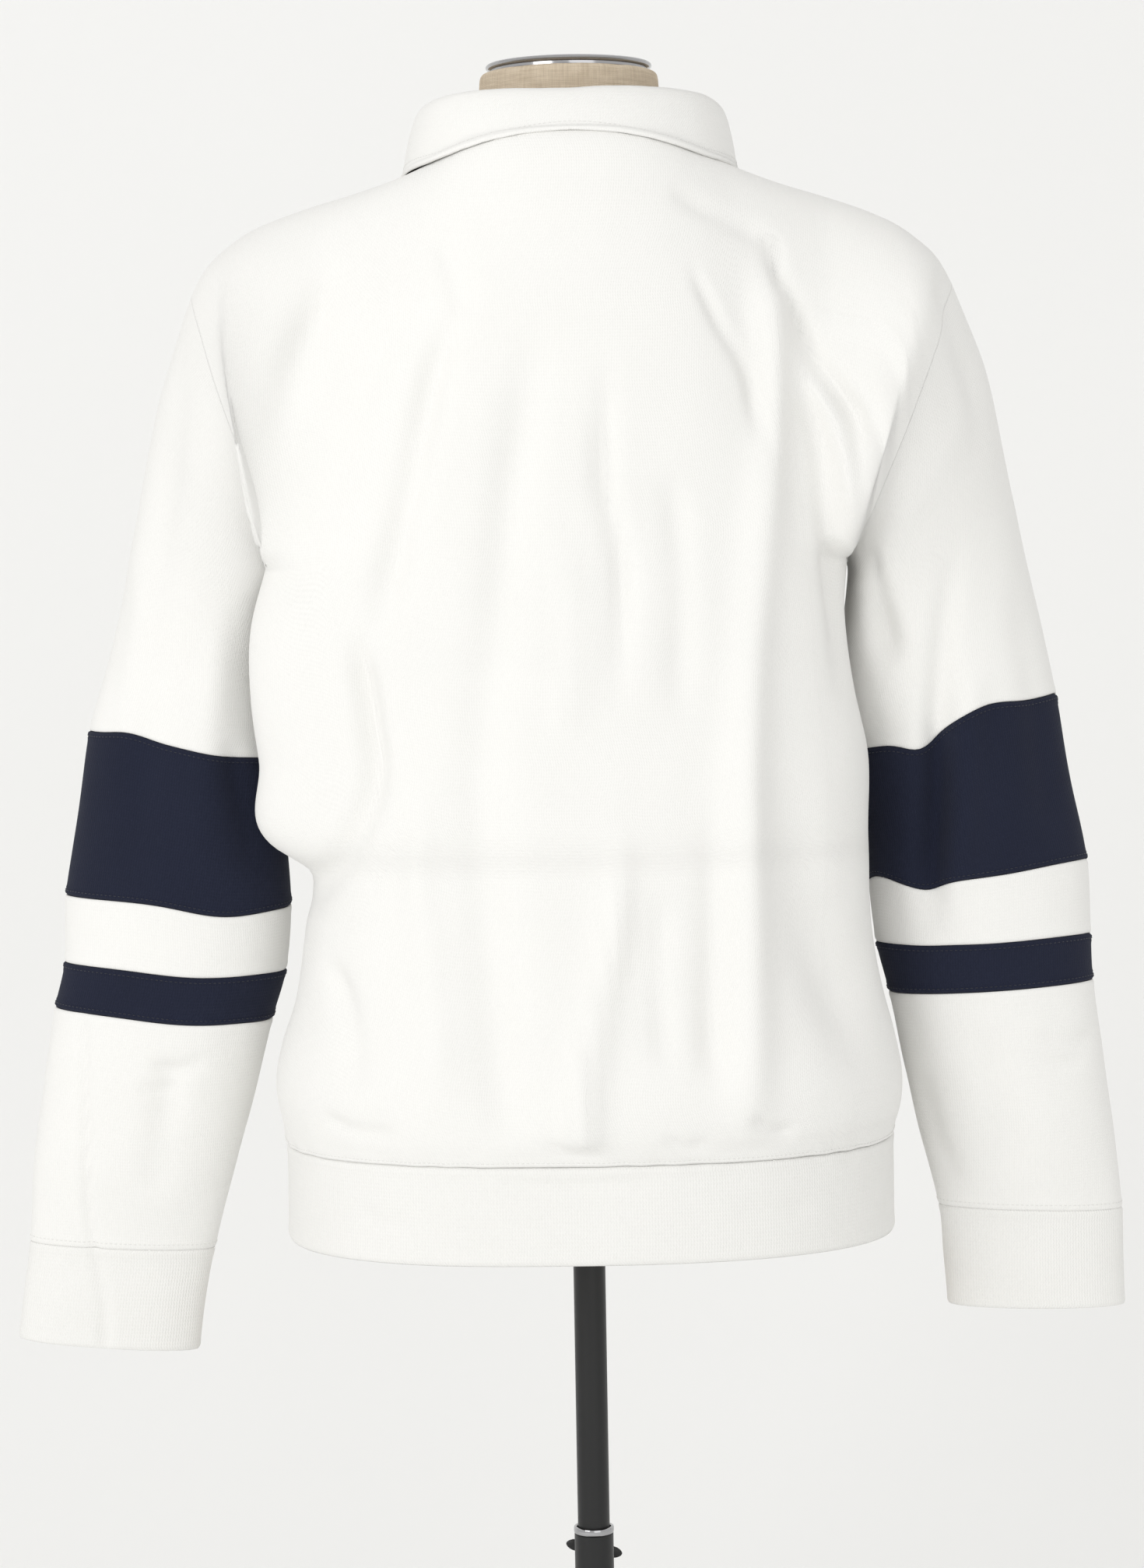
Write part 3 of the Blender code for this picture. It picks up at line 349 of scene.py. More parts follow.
LEFT_SLEEVE_FRONT = (
    Crease(((-0.240, 1.340), (-0.256, 1.240), (-0.266, 1.140), (-0.280, 1.020)), 0.015, -0.0050, 0.4),
    Crease(((-0.290, 1.180), (-0.300, 1.100), (-0.318, 1.000)), 0.011, 0.0035, 0.3),
    Crease(((-0.290, 0.870), (-0.300, 0.820), (-0.306, 0.765)), 0.012, -0.0035, 0.3),
)
RIGHT_SLEEVE_FRONT = (
    Crease(((0.244, 1.340), (0.258, 1.250), (0.266, 1.150), (0.276, 1.020)), 0.015, -0.0050, 0.4),
    Crease(((0.292, 1.170), (0.300, 1.090), (0.312, 1.000)), 0.011, 0.0035, 0.3),
    Crease(((0.284, 0.880), (0.296, 0.820), (0.300, 0.765)), 0.012, -0.0035, 0.3),
)
HEM_CREASES = (
    Crease(((-0.060, 0.7975), (-0.010, 0.7955), (0.000, 0.7960), (0.050, 0.7975)), 0.0035, -0.0012, 0.6),
    Crease(((-0.150, 0.778), (-0.130, 0.770), (-0.110, 0.772)), 0.006, -0.0010, 0.5),
    Crease(((0.090, 0.780), (0.120, 0.774), (0.150, 0.777)), 0.007, -0.0010, 0.5),
)


@dataclass
class Weave:
    """A piece of cloth as rows and columns of points.

    Attributes:
        points: rows by columns by 3; a tube's last column repeats its first.
        tube: whether the columns run all round.
        outside: a direction that the outer side of the grid's middle faces.
    """

    points: np.ndarray
    tube: bool
    outside: tuple

    def normals(self) -> np.ndarray:
        """Return the outer side's unit normals, rows by columns by 3."""
        padded = self.points
        if self.tube:
            padded = np.concatenate((self.points[:, -2:-1], self.points, self.points[:, 1:2]), axis=1)
        down = np.gradient(padded, axis=0)
        across = np.gradient(padded, axis=1)
        normal = np.cross(across, down)
        if self.tube:
            normal = normal[:, 1:-1]
        normal = normal / np.maximum(np.linalg.norm(normal, axis=2, keepdims=True), 1e-12)
        middle = normal[len(normal) // 2, 0 if self.tube else normal.shape[1] // 2]
        return normal if np.dot(middle, self.outside) > 0 else -normal

    def lengths(self, axis: int) -> np.ndarray:
        """Return each point's distance from the first row or column, along the cloth.

        Args:
            axis: 0 for the distance down the rows, 1 for that across the columns.

        Returns:
            Rows by columns of distances.
        """
        steps = np.linalg.norm(np.diff(self.points, axis=axis), axis=2)
        pad = ((1, 0), (0, 0)) if axis == 0 else ((0, 0), (1, 0))
        return np.cumsum(np.pad(steps, pad), axis=axis)

    def from_edges(self) -> np.ndarray:
        """Return each point's distance from the nearest edge that is sewn or hemmed."""
        down, across = self.lengths(0), self.lengths(1)
        nearest = np.minimum(down, down[-1:] - down)
        if not self.tube:
            nearest = np.minimum(nearest, np.minimum(across, across[:, -1:] - across))
        return nearest

    def size(self) -> tuple[float, float]:
        """Return the cloth's greatest width and length, measured along it."""
        return float(self.lengths(1)[:, -1].max()), float(self.lengths(0)[-1].max())

    def inner(self) -> "Weave":
        """Return the cloth without its first and last columns."""
        return Weave(self.points[:, 1:-1], self.tube, self.outside)

    def below(self, row: int) -> "Weave":
        """Return the cloth from a row on."""
        return Weave(self.points[row:], self.tube, self.outside)

    def raised(self, heights: np.ndarray) -> "Weave":
        """Return the cloth with each point moved along its normal."""
        moved = self.points + self.normals() * heights[:, :, None]
        if self.tube:
            moved[:, -1] = moved[:, 0]
        return Weave(moved, self.tube, self.outside)


def creased(weave: Weave, creases: tuple) -> np.ndarray:
    """Return the height of a set of folds at each point of a piece of cloth."""
    x, z = weave.points[:, :, 0], weave.points[:, :, 2]
    total = np.zeros(x.shape)
    for crease in creases:
        total += crease.heights(x, z)
    return total


def eased(points: np.ndarray, weight: np.ndarray, times: int) -> np.ndarray:
    """Round off the corners along the rows of a grid.

    Args:
        points: rows by columns by 3.
        weight: how freely each point may move, from 0 to 1.
        times: how often each is drawn half way towards its neighbours.

    Returns:
        The eased points.
    """
    points = points.copy()
    before = np.linalg.norm(points[:, 1:-1] - points[:, :-2], axis=2)[:, :, None]
    after = np.linalg.norm(points[:, 2:] - points[:, 1:-1], axis=2)[:, :, None]
    near = after / np.maximum(before + after, 1e-9)
    for _ in range(times):
        middle = points[:, :-2] * near + points[:, 2:] * (1 - near)
        points[:, 1:-1] += 0.5 * weight[:, 1:-1, None] * (middle - points[:, 1:-1])
    return points


def surface_of(weave: Weave) -> BVHTree:
    """Return a piece's outer surface, for measuring to it."""
    points = weave.points
    rows, columns = points.shape[:2]
    row, column = rows // 2, columns // 2
    across = points[row, column + 1] - points[row, column]
    down = points[row + 1, column] - points[row, column]
    if np.dot(np.cross(across, down), weave.outside) < 0:
        points = points[::-1]
    corners = np.arange(rows * columns).reshape(rows, columns)
    quads = np.stack((corners[:-1, :-1], corners[:-1, 1:], corners[1:, 1:], corners[1:, :-1]), axis=2)
    return BVHTree.FromPolygons(points.reshape(-1, 3).tolist(), quads.reshape(-1, 4).tolist())


def uneven(weave: Weave, pitch: float, height: float, seed: float) -> np.ndarray:
    """Return soft random heights over a piece of cloth.

    Args:
        weave: the piece of cloth.
        pitch: the distance between its swells.
        height: how high they are.
        seed: moves the pattern.

    Returns:
        Rows by columns of heights.
    """
    flat = weave.points.reshape(-1, 3)
    shift = Vector((seed, 2 * seed, 3 * seed))
    stretch = Vector((1.0, 1.0, 0.55)) / pitch
    values = [noise.noise(Vector(p) * stretch + shift) for p in flat]
    heights = np.array(values).reshape(weave.points.shape[:2]) * height
    if weave.tube:
        heights[:, -1] = heights[:, 0]
    return heights


def rumpled(weave: Weave) -> np.ndarray:
    """Return the broad swells and small crumples of a hanging knit."""
    return uneven(weave, 0.075, 0.0016, 3.0) + uneven(weave, 0.022, 0.00035, 5.0)


def share_behind(points: np.ndarray) -> np.ndarray:
    """Return 1 where a sleeve's points face back and 0 where they face front."""
    return smooth(0.5 - (points[:, :, 1] - 0.010) / 0.03)


class Graph:
    """A small helper that adds nodes to a shader tree and joins them."""

    def __init__(self, tree: bpy.types.NodeTree) -> None:
        """Keep the tree that the nodes go into."""
        self.tree = tree

    def feed(self, node: bpy.types.Node, inputs: dict) -> None:
        """Set a node's inputs.

        Args:
            node: the node.
            inputs: a value or an output socket for each named or numbered input.
        """
        for key, value in inputs.items():
            if isinstance(value, bpy.types.NodeSocket):
                self.tree.links.new(value, node.inputs[key])
            else:
                node.inputs[key].default_value = value

    def add(self, kind: str, inputs: dict | None = None, **settings: object) -> bpy.types.Node:
        """Add a node.

        Args:
            kind: the node's type, without its ShaderNode prefix.
            inputs: a value or an output socket for each named or numbered input.
            settings: the node's own settings.

        Returns:
            The node.
        """
        node = self.tree.nodes.new("ShaderNode" + kind)
        for key, value in settings.items():
            setattr(node, key, value)
        self.feed(node, inputs or {})
        return node

    def math(self, operation: str, first: object, second: object = 0.0) -> bpy.types.NodeSocket:
        """Return the output of a Math node."""
        return self.add("Math", {0: first, 1: second}, operation=operation).outputs[0]

    def times(self, first: object, second: object) -> bpy.types.NodeSocket:
        """Return the product of two values."""
        return self.math("MULTIPLY", first, second)

    def plus(self, first: object, second: object) -> bpy.types.NodeSocket:
        """Return the sum of two values."""
        return self.math("ADD", first, second)

    def place(self) -> bpy.types.NodeSocket:
        """Return the object's own coordinates."""
        return self.add("TexCoord").outputs["Object"]

    def cloud(self, place: object, scale: float, detail: float) -> bpy.types.NodeSocket:
        """Return the output of a Noise Texture node."""
        return self.add("TexNoise", {"Vector": place, "Scale": scale, "Detail": detail}).outputs[0]

    def bump(self, height: object, distance: float, strength: float) -> bpy.types.NodeSocket:
        """Return the normal that a Bump node gives."""
        return self.add("Bump", {"Height": height, "Distance": distance, "Strength": strength}).outputs[0]

    def mix(self, share: object, first: tuple, second: tuple) -> bpy.types.NodeSocket:
        """Return the output of a Mix node between two colours."""
        return self.add("Mix", {0: share, 6: (*first, 1), 7: (*second, 1)}, data_type="RGBA").outputs[2]


def new_group(name: str, inputs: dict, *outputs: str) -> tuple[Graph, bpy.types.Node, bpy.types.Node]:
    """Make an empty shader node group.

    Args:
        name: the group's name.
        inputs: each input's name and default value.
        outputs: the names of its outputs.

    Returns:
        The group's graph, its input node and its output node.
    """
    tree = bpy.data.node_groups.new(name, "ShaderNodeTree")
    for label, value in inputs.items():
        socket = tree.interface.new_socket(label, in_out="INPUT", socket_type="NodeSocketFloat")
        socket.default_value = value
    for label in outputs:
        tree.interface.new_socket(label, in_out="OUTPUT", socket_type="NodeSocketFloat")
    return Graph(tree), tree.nodes.new("NodeGroupInput"), tree.nodes.new("NodeGroupOutput")


def knit_group() -> bpy.types.NodeTree:
    """Make the knit's loops: upright wales of slanted stitches, with a little fuzz over them. The second
    output is painted shade, lighter where the loops stand up and darker in their hollows, with the fuzz's
    random tone.
    """
    found = bpy.data.node_groups.get("knit_loops")
    if found:
        return found
    inputs = {"Wale": 0.0016, "Course": 0.0022, "Fuzz": 0.3}
    graph, given, result = new_group("knit_loops", inputs, "Height", "ShadeAndTone")
    place = graph.add("UVMap", uv_map=UV_NAME).outputs["UV"]
    split = graph.add("SeparateXYZ", {0: place})
    across = graph.math("DIVIDE", split.outputs["X"], given.outputs["Wale"])
    down = graph.math("DIVIDE", split.outputs["Y"], given.outputs["Course"])
    wave = graph.math("SINE", graph.times(across, 2 * math.pi))
    slant = graph.math("ABSOLUTE", graph.math("SINE", graph.times(across, math.pi)))
    shifted = graph.plus(down, graph.times(slant, 0.6))
    loop = graph.math("SINE", graph.times(shifted, 2 * math.pi))
    both = graph.plus(graph.times(wave, 0.6), graph.times(loop, 0.4))
    fuzz = graph.cloud(place, 900.0, 3.0)
    tangle = graph.times(graph.math("SUBTRACT", fuzz, 0.5), given.outputs["Fuzz"])
    height = graph.plus(both, graph.times(tangle, 4.0))
    # The second output is painted shade that follows the loops' height, darker in the hollows; the fuzz adds
    # random tone.
    graph.feed(result, {"Height": height, "ShadeAndTone": graph.plus(graph.times(height, 0.25), 0.5)})
    return graph.tree


def linen_group() -> bpy.types.NodeTree:
    """Make a plain weave of uneven threads round an upright form. The second output is painted shade,
    lighter where the weave stands up and darker between the threads, with the slubs' uneven tone.
    """
    found = bpy.data.node_groups.get("linen_threads")
    if found:
        return found
    inputs = {"Thread": 0.0008, "Radius": 0.06}
    graph, given, result = new_group("linen_threads", inputs, "Height", "ShadeAndTone")
    place = graph.place()
    split = graph.add("SeparateXYZ", {0: place})
    turn = graph.math("ARCTAN2", split.outputs["Y"], split.outputs["X"])
    round_length = graph.times(turn, given.outputs["Radius"])
    swayed = graph.times(graph.cloud(place, 60.0, 2.0), 0.0012)
    across = graph.math("DIVIDE", graph.plus(round_length, swayed), given.outputs["Thread"])
    down = graph.math("DIVIDE", graph.plus(split.outputs["Z"], swayed), given.outputs["Thread"])
    warp = graph.math("SINE", graph.times(across, math.pi))
    weft = graph.math("SINE", graph.times(down, math.pi))
    crossing = graph.math("ABSOLUTE", graph.times(warp, weft))
    slubs = []
    for wide, tall in ((0.5, 0.04), (0.04, 0.5)):
        way = graph.add("CombineXYZ", {0: graph.times(across, wide), 1: graph.times(down, tall)})
        slubs.append(graph.cloud(way.outputs[0], 1.0, 2.0))
    slub = graph.plus(*slubs)
    height = graph.plus(crossing, graph.times(slub, 0.8))
    uneven_tone = graph.times(graph.math("SUBTRACT", slub, 0.45), 0.8)
    # Painted shade from the weave's crossings, darker between the threads, plus the slubs' own uneven tone.
    shade_and_tone = graph.plus(graph.times(crossing, 0.35), uneven_tone)
    graph.feed(result, {"Height": height, "ShadeAndTone": shade_and_tone})
    return graph.tree


def smudge_group() -> bpy.types.NodeTree:
    """Make the faint rubbed patches and upright hairline scratches of handled metal."""
    found = bpy.data.node_groups.get("handled_metal")
    if found:
        return found
    graph, given, result = new_group("handled_metal", {"Low": 0.2, "High": 0.4}, "Roughness", "Height")
    place = graph.place()
    patches = graph.cloud(place, 24.0, 4.0)
    drawn = graph.add("Mapping", {"Vector": place, "Scale": (900.0, 900.0, 12.0)})
    lines = graph.cloud(drawn.outputs[0], 1.0, 2.0)
    share = graph.plus(graph.times(patches, 0.7), graph.times(lines, 0.3))
    span = graph.math("SUBTRACT", given.outputs["High"], given.outputs["Low"])
    rough = graph.plus(graph.times(share, span), given.outputs["Low"])
    graph.feed(result, {"Roughness": rough, "Height": lines})
    return graph.tree


def start_material(name: str) -> tuple[bpy.types.Material, Graph, bpy.types.Node]:
    """Make a material and return it with its graph and its shader."""
    material = bpy.data.materials.new(name)
    material.use_nodes = True
    return material, Graph(material.node_tree), material.node_tree.nodes["Principled BSDF"]


@dataclass(frozen=True)
class Finish:
    """What a piece is made of.

    Attributes:
        name: the material's name.
        slot: the material slot that it stands for; not used.
    """

    name: str
    slot: str

    def material(self) -> bpy.types.Material:
        """Return the material, made on its first use."""
        found = bpy.data.materials.get(self.name)
        if found:
            return found
        material, graph, shader = start_material(self.name)
        graph.feed(shader, self.sockets(graph))
        return material

    def sockets(self, graph: Graph) -> dict:
        """Return a value or a node's output for each of the shader's inputs that it sets."""
        raise NotImplementedError


@dataclass(frozen=True)
class KnitFinish(Finish):
    """A knitted cotton, such as fleece, its rib or a navy band.

    Attributes:
        light: its colour where it catches the light.
        dark: its colour between the stitches, painted shade in the hollows of the loops, mixed with a random
            mottle.
        wale: the width of a column of stitches.
        relief: how deep the stitches are.
        sheen: how much its nap shines at a glance.
    """

    light: tuple
    dark: tuple
    wale: float = 0.0016
    relief: float = 0.00012
    sheen: float = 0.12

    def sockets(self, graph: Graph) -> dict:
        """Return the looks of loops with a soft mottle over them, and painted shade between the loops."""
        knit = graph.add("Group", node_tree=knit_group())
        graph.feed(knit, {"Wale": self.wale, "Course": self.wale * COURSE_TO_WALE})
        inputs = {"Vector": graph.place(), "Scale": 22.0, "Detail": 5.0, "Roughness": 0.6}
        mottle = graph.add("TexNoise", inputs).outputs[0]
        # The mix carries painted shade from the knit's height, darker between the loops, plus a random
        # mottle.
        share = graph.plus(graph.times(knit.outputs["ShadeAndTone"], 0.7), graph.times(mottle, 0.35))
        return {
            "Base Color": graph.mix(share, self.dark, self.light),
            "Normal": graph.bump(knit.outputs["Height"], self.relief, 0.8),
            "Roughness": 0.92,
            "Specular IOR Level": 0.25,
            "Sheen Weight": self.sheen,
            "Sheen Roughness": 0.6,
        }


@dataclass(frozen=True)
class ThreadFinish(Finish):
    """Sewing thread.

    Attributes:
        colour: its colour.
    """

    colour: tuple

    def sockets(self, graph: Graph) -> dict:
        """Return the looks of a twisted thread."""
        darker = tuple(0.8 * value for value in self.colour)
        twist = graph.cloud(graph.place(), 2500.0, 1.0)
        return {"Base Color": graph.mix(twist, darker, self.colour), "Roughness": 0.6, "Sheen Weight": 0.2}


@dataclass(frozen=True)
class LinenFinish(Finish):
    """The dress form's coarse natural linen.

    Attributes:
        light: its colour on the threads.
        dark: its colour between them, which carries painted shade where the weave dips; the slubs' uneven
            tone mixes in too.
    """

    light: tuple
    dark: tuple

    def sockets(self, graph: Graph) -> dict:
        """Return the looks of a plain weave."""
        weave = graph.add("Group", node_tree=linen_group())
        return {
            # The weave's second output darkens the colour between the threads as painted shade.
            "Base Color": graph.mix(weave.outputs["ShadeAndTone"], self.dark, self.light),
            "Normal": graph.bump(weave.outputs["Height"], 0.0004, 0.9),
            "Roughness": 0.95,
            "Specular IOR Level": 0.2,
        }


@dataclass(frozen=True)
class MetalFinish(Finish):
    """Chrome or black-lacquered steel.

    Attributes:
        colour: its colour.
        metallic: how metallic it is.
        low: its least roughness.
        high: its greatest roughness.
        coat: the weight of its lacquer.
    """

    colour: tuple
    metallic: float
    low: float
    high: float
    coat: float = 0.0

    def sockets(self, graph: Graph) -> dict:
        """Return the looks of metal that has been handled."""
        handled = graph.add("Group", node_tree=smudge_group())
        graph.feed(handled, {"Low": self.low, "High": self.high})
        return {
            "Roughness": handled.outputs["Roughness"],
            "Normal": graph.bump(handled.outputs["Height"], 0.00003, 0.4),
            "Base Color": (*self.colour, 1),
            "Metallic": self.metallic,
            "Coat Weight": self.coat,
            "Coat Roughness": 0.15,
        }


# Each knit's dark colour is painted shade between the loops, mixed with a random mottle.
FLEECE = KnitFinish("fleece_white", "fleece", (0.875, 0.870, 0.850), (0.80, 0.795, 0.77))
RIB = KnitFinish("band_white", "rib", (0.865, 0.860, 0.838), (0.78, 0.775, 0.75), 0.0019, 0.00018)
NAVY = KnitFinish("band_navy", "navy", (0.014, 0.018, 0.040), (0.006, 0.008, 0.019), 0.0017, 0.00015, 0.025)
WHITE_THREAD = ThreadFinish("thread_white", "fleece", (0.84, 0.835, 0.81))
NAVY_THREAD = ThreadFinish("thread_navy", "navy", (0.006, 0.008, 0.018))
# The linen's dark colour is painted shade between the threads, mixed with the slubs' uneven tone.
LINEN = LinenFinish("form_linen", "linen", (0.86, 0.74, 0.58), (0.50, 0.39, 0.27))
CHROME = MetalFinish("cap_chrome", "chrome", (0.42, 0.42, 0.43), 1.0, 0.08, 0.20)
BLACK = MetalFinish("stand_black", "black_metal", (0.005, 0.0053, 0.0056), 0.1, 0.36, 0.52, 0.04)


def dressed(obj: bpy.types.Object, finish: Finish, body: str, *nodes: str) -> bpy.types.Object:
    """Give a piece its finish, the CAD body that it moves with and the nodes that it stands for.

    Args:
        obj: the piece.
        finish: what it is made of.
        body: the CAD body.
        nodes: the CAD nodes that it stands for, if any.

    Returns:
        The piece.
    """
    obj.data.materials.clear()
    obj.data.materials.append(finish.material())
    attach(obj, body)
    if nodes:
        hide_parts(*nodes)
    LOG.info("%s: %d faces", obj.name, len(obj.data.polygons))
    return obj


def linked(name: str, shape: bmesh.types.BMesh, crease_degrees: float = 60.0) -> bpy.types.Object:
    """Turn a bmesh into a smooth-shaded object of the scene."""
    mesh = bpy.data.meshes.new(name)
    shape.to_mesh(mesh)
    shape.free()
    mesh.shade_smooth()
    mesh.set_sharp_from_angle(angle=math.radians(crease_degrees))
    obj = bpy.data.objects.new(name, mesh)
    bpy.context.scene.collection.objects.link(obj)
    return obj


def sewn(name: str, weave: Weave, thickness: float) -> bpy.types.Object:
    """Make an object of a piece of cloth.

    Args:
        name: the object's name.
        weave: the cloth's outer side.
        thickness: its wall, which goes inwards.

    Returns:
        The object, with its lengths along the cloth as its UV map.
    """
    rows, columns = weave.points.shape[:2]
    shape = bmesh.new()
    bmesh.ops.create_grid(shape, x_segments=columns - 1, y_segments=rows - 1, size=1.0)
    shape.verts.ensure_lookup_table()
    across, down = weave.lengths(1), weave.lengths(0)
    spots = {}
    for vert in shape.verts:
        c = round((vert.co.x + 1) / 2 * (columns - 1))
        r = round((vert.co.y + 1) / 2 * (rows - 1))
        spots[vert] = (r, c)
        vert.co = weave.points[r, c]
    layer = shape.loops.layers.uv.new(UV_NAME)
    for face in shape.faces:
        for loop in face.loops:
            r, c = spots[loop.vert]
            loop[layer].uv = (across[r, c], down[r, c])
    middle = weave.normals()[rows // 2, 0 if weave.tube else columns // 2]
    shape.faces.ensure_lookup_table()
    shape.normal_update()
    centre = next(f for f in shape.faces if all(spots[v][0] in (rows // 2, rows // 2 + 1) for v in f.verts)
                  and (0 if weave.tube else columns // 2) in [spots[v][1] for v in f.verts])
    if centre.normal.dot(Vector(middle)) < 0:
        bmesh.ops.reverse_faces(shape, faces=shape.faces)
    if weave.tube:
        ends = [vert for vert in shape.verts if spots[vert][1] in (0, columns - 1)]
        bmesh.ops.remove_doubles(shape, verts=ends, dist=1e-6)
    obj = linked(name, shape, 180)
    wall = obj.modifiers.new("wall", "SOLIDIFY")
    wall.thickness = thickness
    wall.offset = -1
    return obj


@dataclass
class StitchRun:
    """A row of stitches laid on a piece of cloth.

    Attributes:
        pitch: the distance from stitch to stitch.
        length: a stitch's length.
        radius: the thread's radius.
    """

    pitch: float = 0.0032
    length: float = 0.0022
    radius: float = 0.00030

    def add_to(self, shape: bmesh.types.BMesh, weave: Weave, distance: float, from_first: bool) -> None:
        """Add the stitches of one line to a mesh.

        Args:
            shape: the mesh that they join.
            weave: the cloth.
            distance: how far from the cloth's edge the line runs.
            from_first: whether that is its first edge or its last.
        """
        down = weave.lengths(0)
        reach = down if from_first else down[-1:] - down
        normals = weave.normals()
        line, outward = [], []
        for c in range(weave.points.shape[1]):
            order = np.argsort(reach[:, c])
            for kept, values in ((line, weave.points), (outward, normals)):
                kept.append([np.interp(distance, reach[order, c], values[order, c, k]) for k in range(3)])
        line, outward = np.array(line), np.array(outward)
        steps = np.linalg.norm(np.diff(line, axis=0), axis=1)
        run = np.concatenate(([0.0], np.cumsum(steps)))
        count = max(int(run[-1] / self.pitch), 1)
        for k in range(count):
            place = (k + 0.5) / count * run[-1]
            wanted = (place, line), (place + 0.001, line), (place, outward)
            middle, ahead, normal = (
                Vector([np.interp(p, run, values[:, i]) for i in range(3)]) for p, values in wanted
            )
            tangent = (ahead - middle).normalized()
            aside = normal.cross(tangent).normalized()
            normal = tangent.cross(aside)
            rows = tangent * self.length / 2, aside * self.radius, normal * self.radius
            matrix = Matrix(rows).transposed().to_4x4()
            matrix.translation = middle + normal * self.radius * 0.35
            bmesh.ops.create_icosphere(shape, subdivisions=1, radius=1.0, matrix=matrix)


def rolled(distance: np.ndarray, plump: float, stitch: float) -> np.ndarray:
    """Return the relief of a sewn edge: turned in at the seam, plump beside it, held down by a stitch line.

    Args:
        distance: each point's distance from the edge.
        plump: how far the doubled cloth beside the seam stands out.
        stitch: how far from the edge the stitches run; 0 for none.

    Returns:
        The heights.
    """
    turned_in = -(0.0010 if stitch else 0.0005) * bell(distance, 0.0010)
    if not stitch:
        return turned_in + plump * bell(distance - 0.003, 0.003)
    doubled = plump * smooth(distance / 0.002) * (1 - smooth((distance - stitch) / 0.003))
    return turned_in + doubled - 0.0006 * bell(distance - stitch, 0.0010)


def edge_rows(length: float, spacing: float) -> list[float]:
    """Return row positions from 0 to 1 that are close together near both ends of a length."""
    close = (0.0, 0.0007, 0.0015, 0.0025, 0.0035, 0.0045, 0.0056, 0.0070, 0.0090)
    near = [d / length for d in close if d < length * 0.4]
    count = max(int((1 - 2 * near[-1]) * length / spacing), 1)
    inner = [near[-1] + (1 - 2 * near[-1]) * k / count for k in range(1, count)]
    return near + inner + [1 - d for d in reversed(near)]


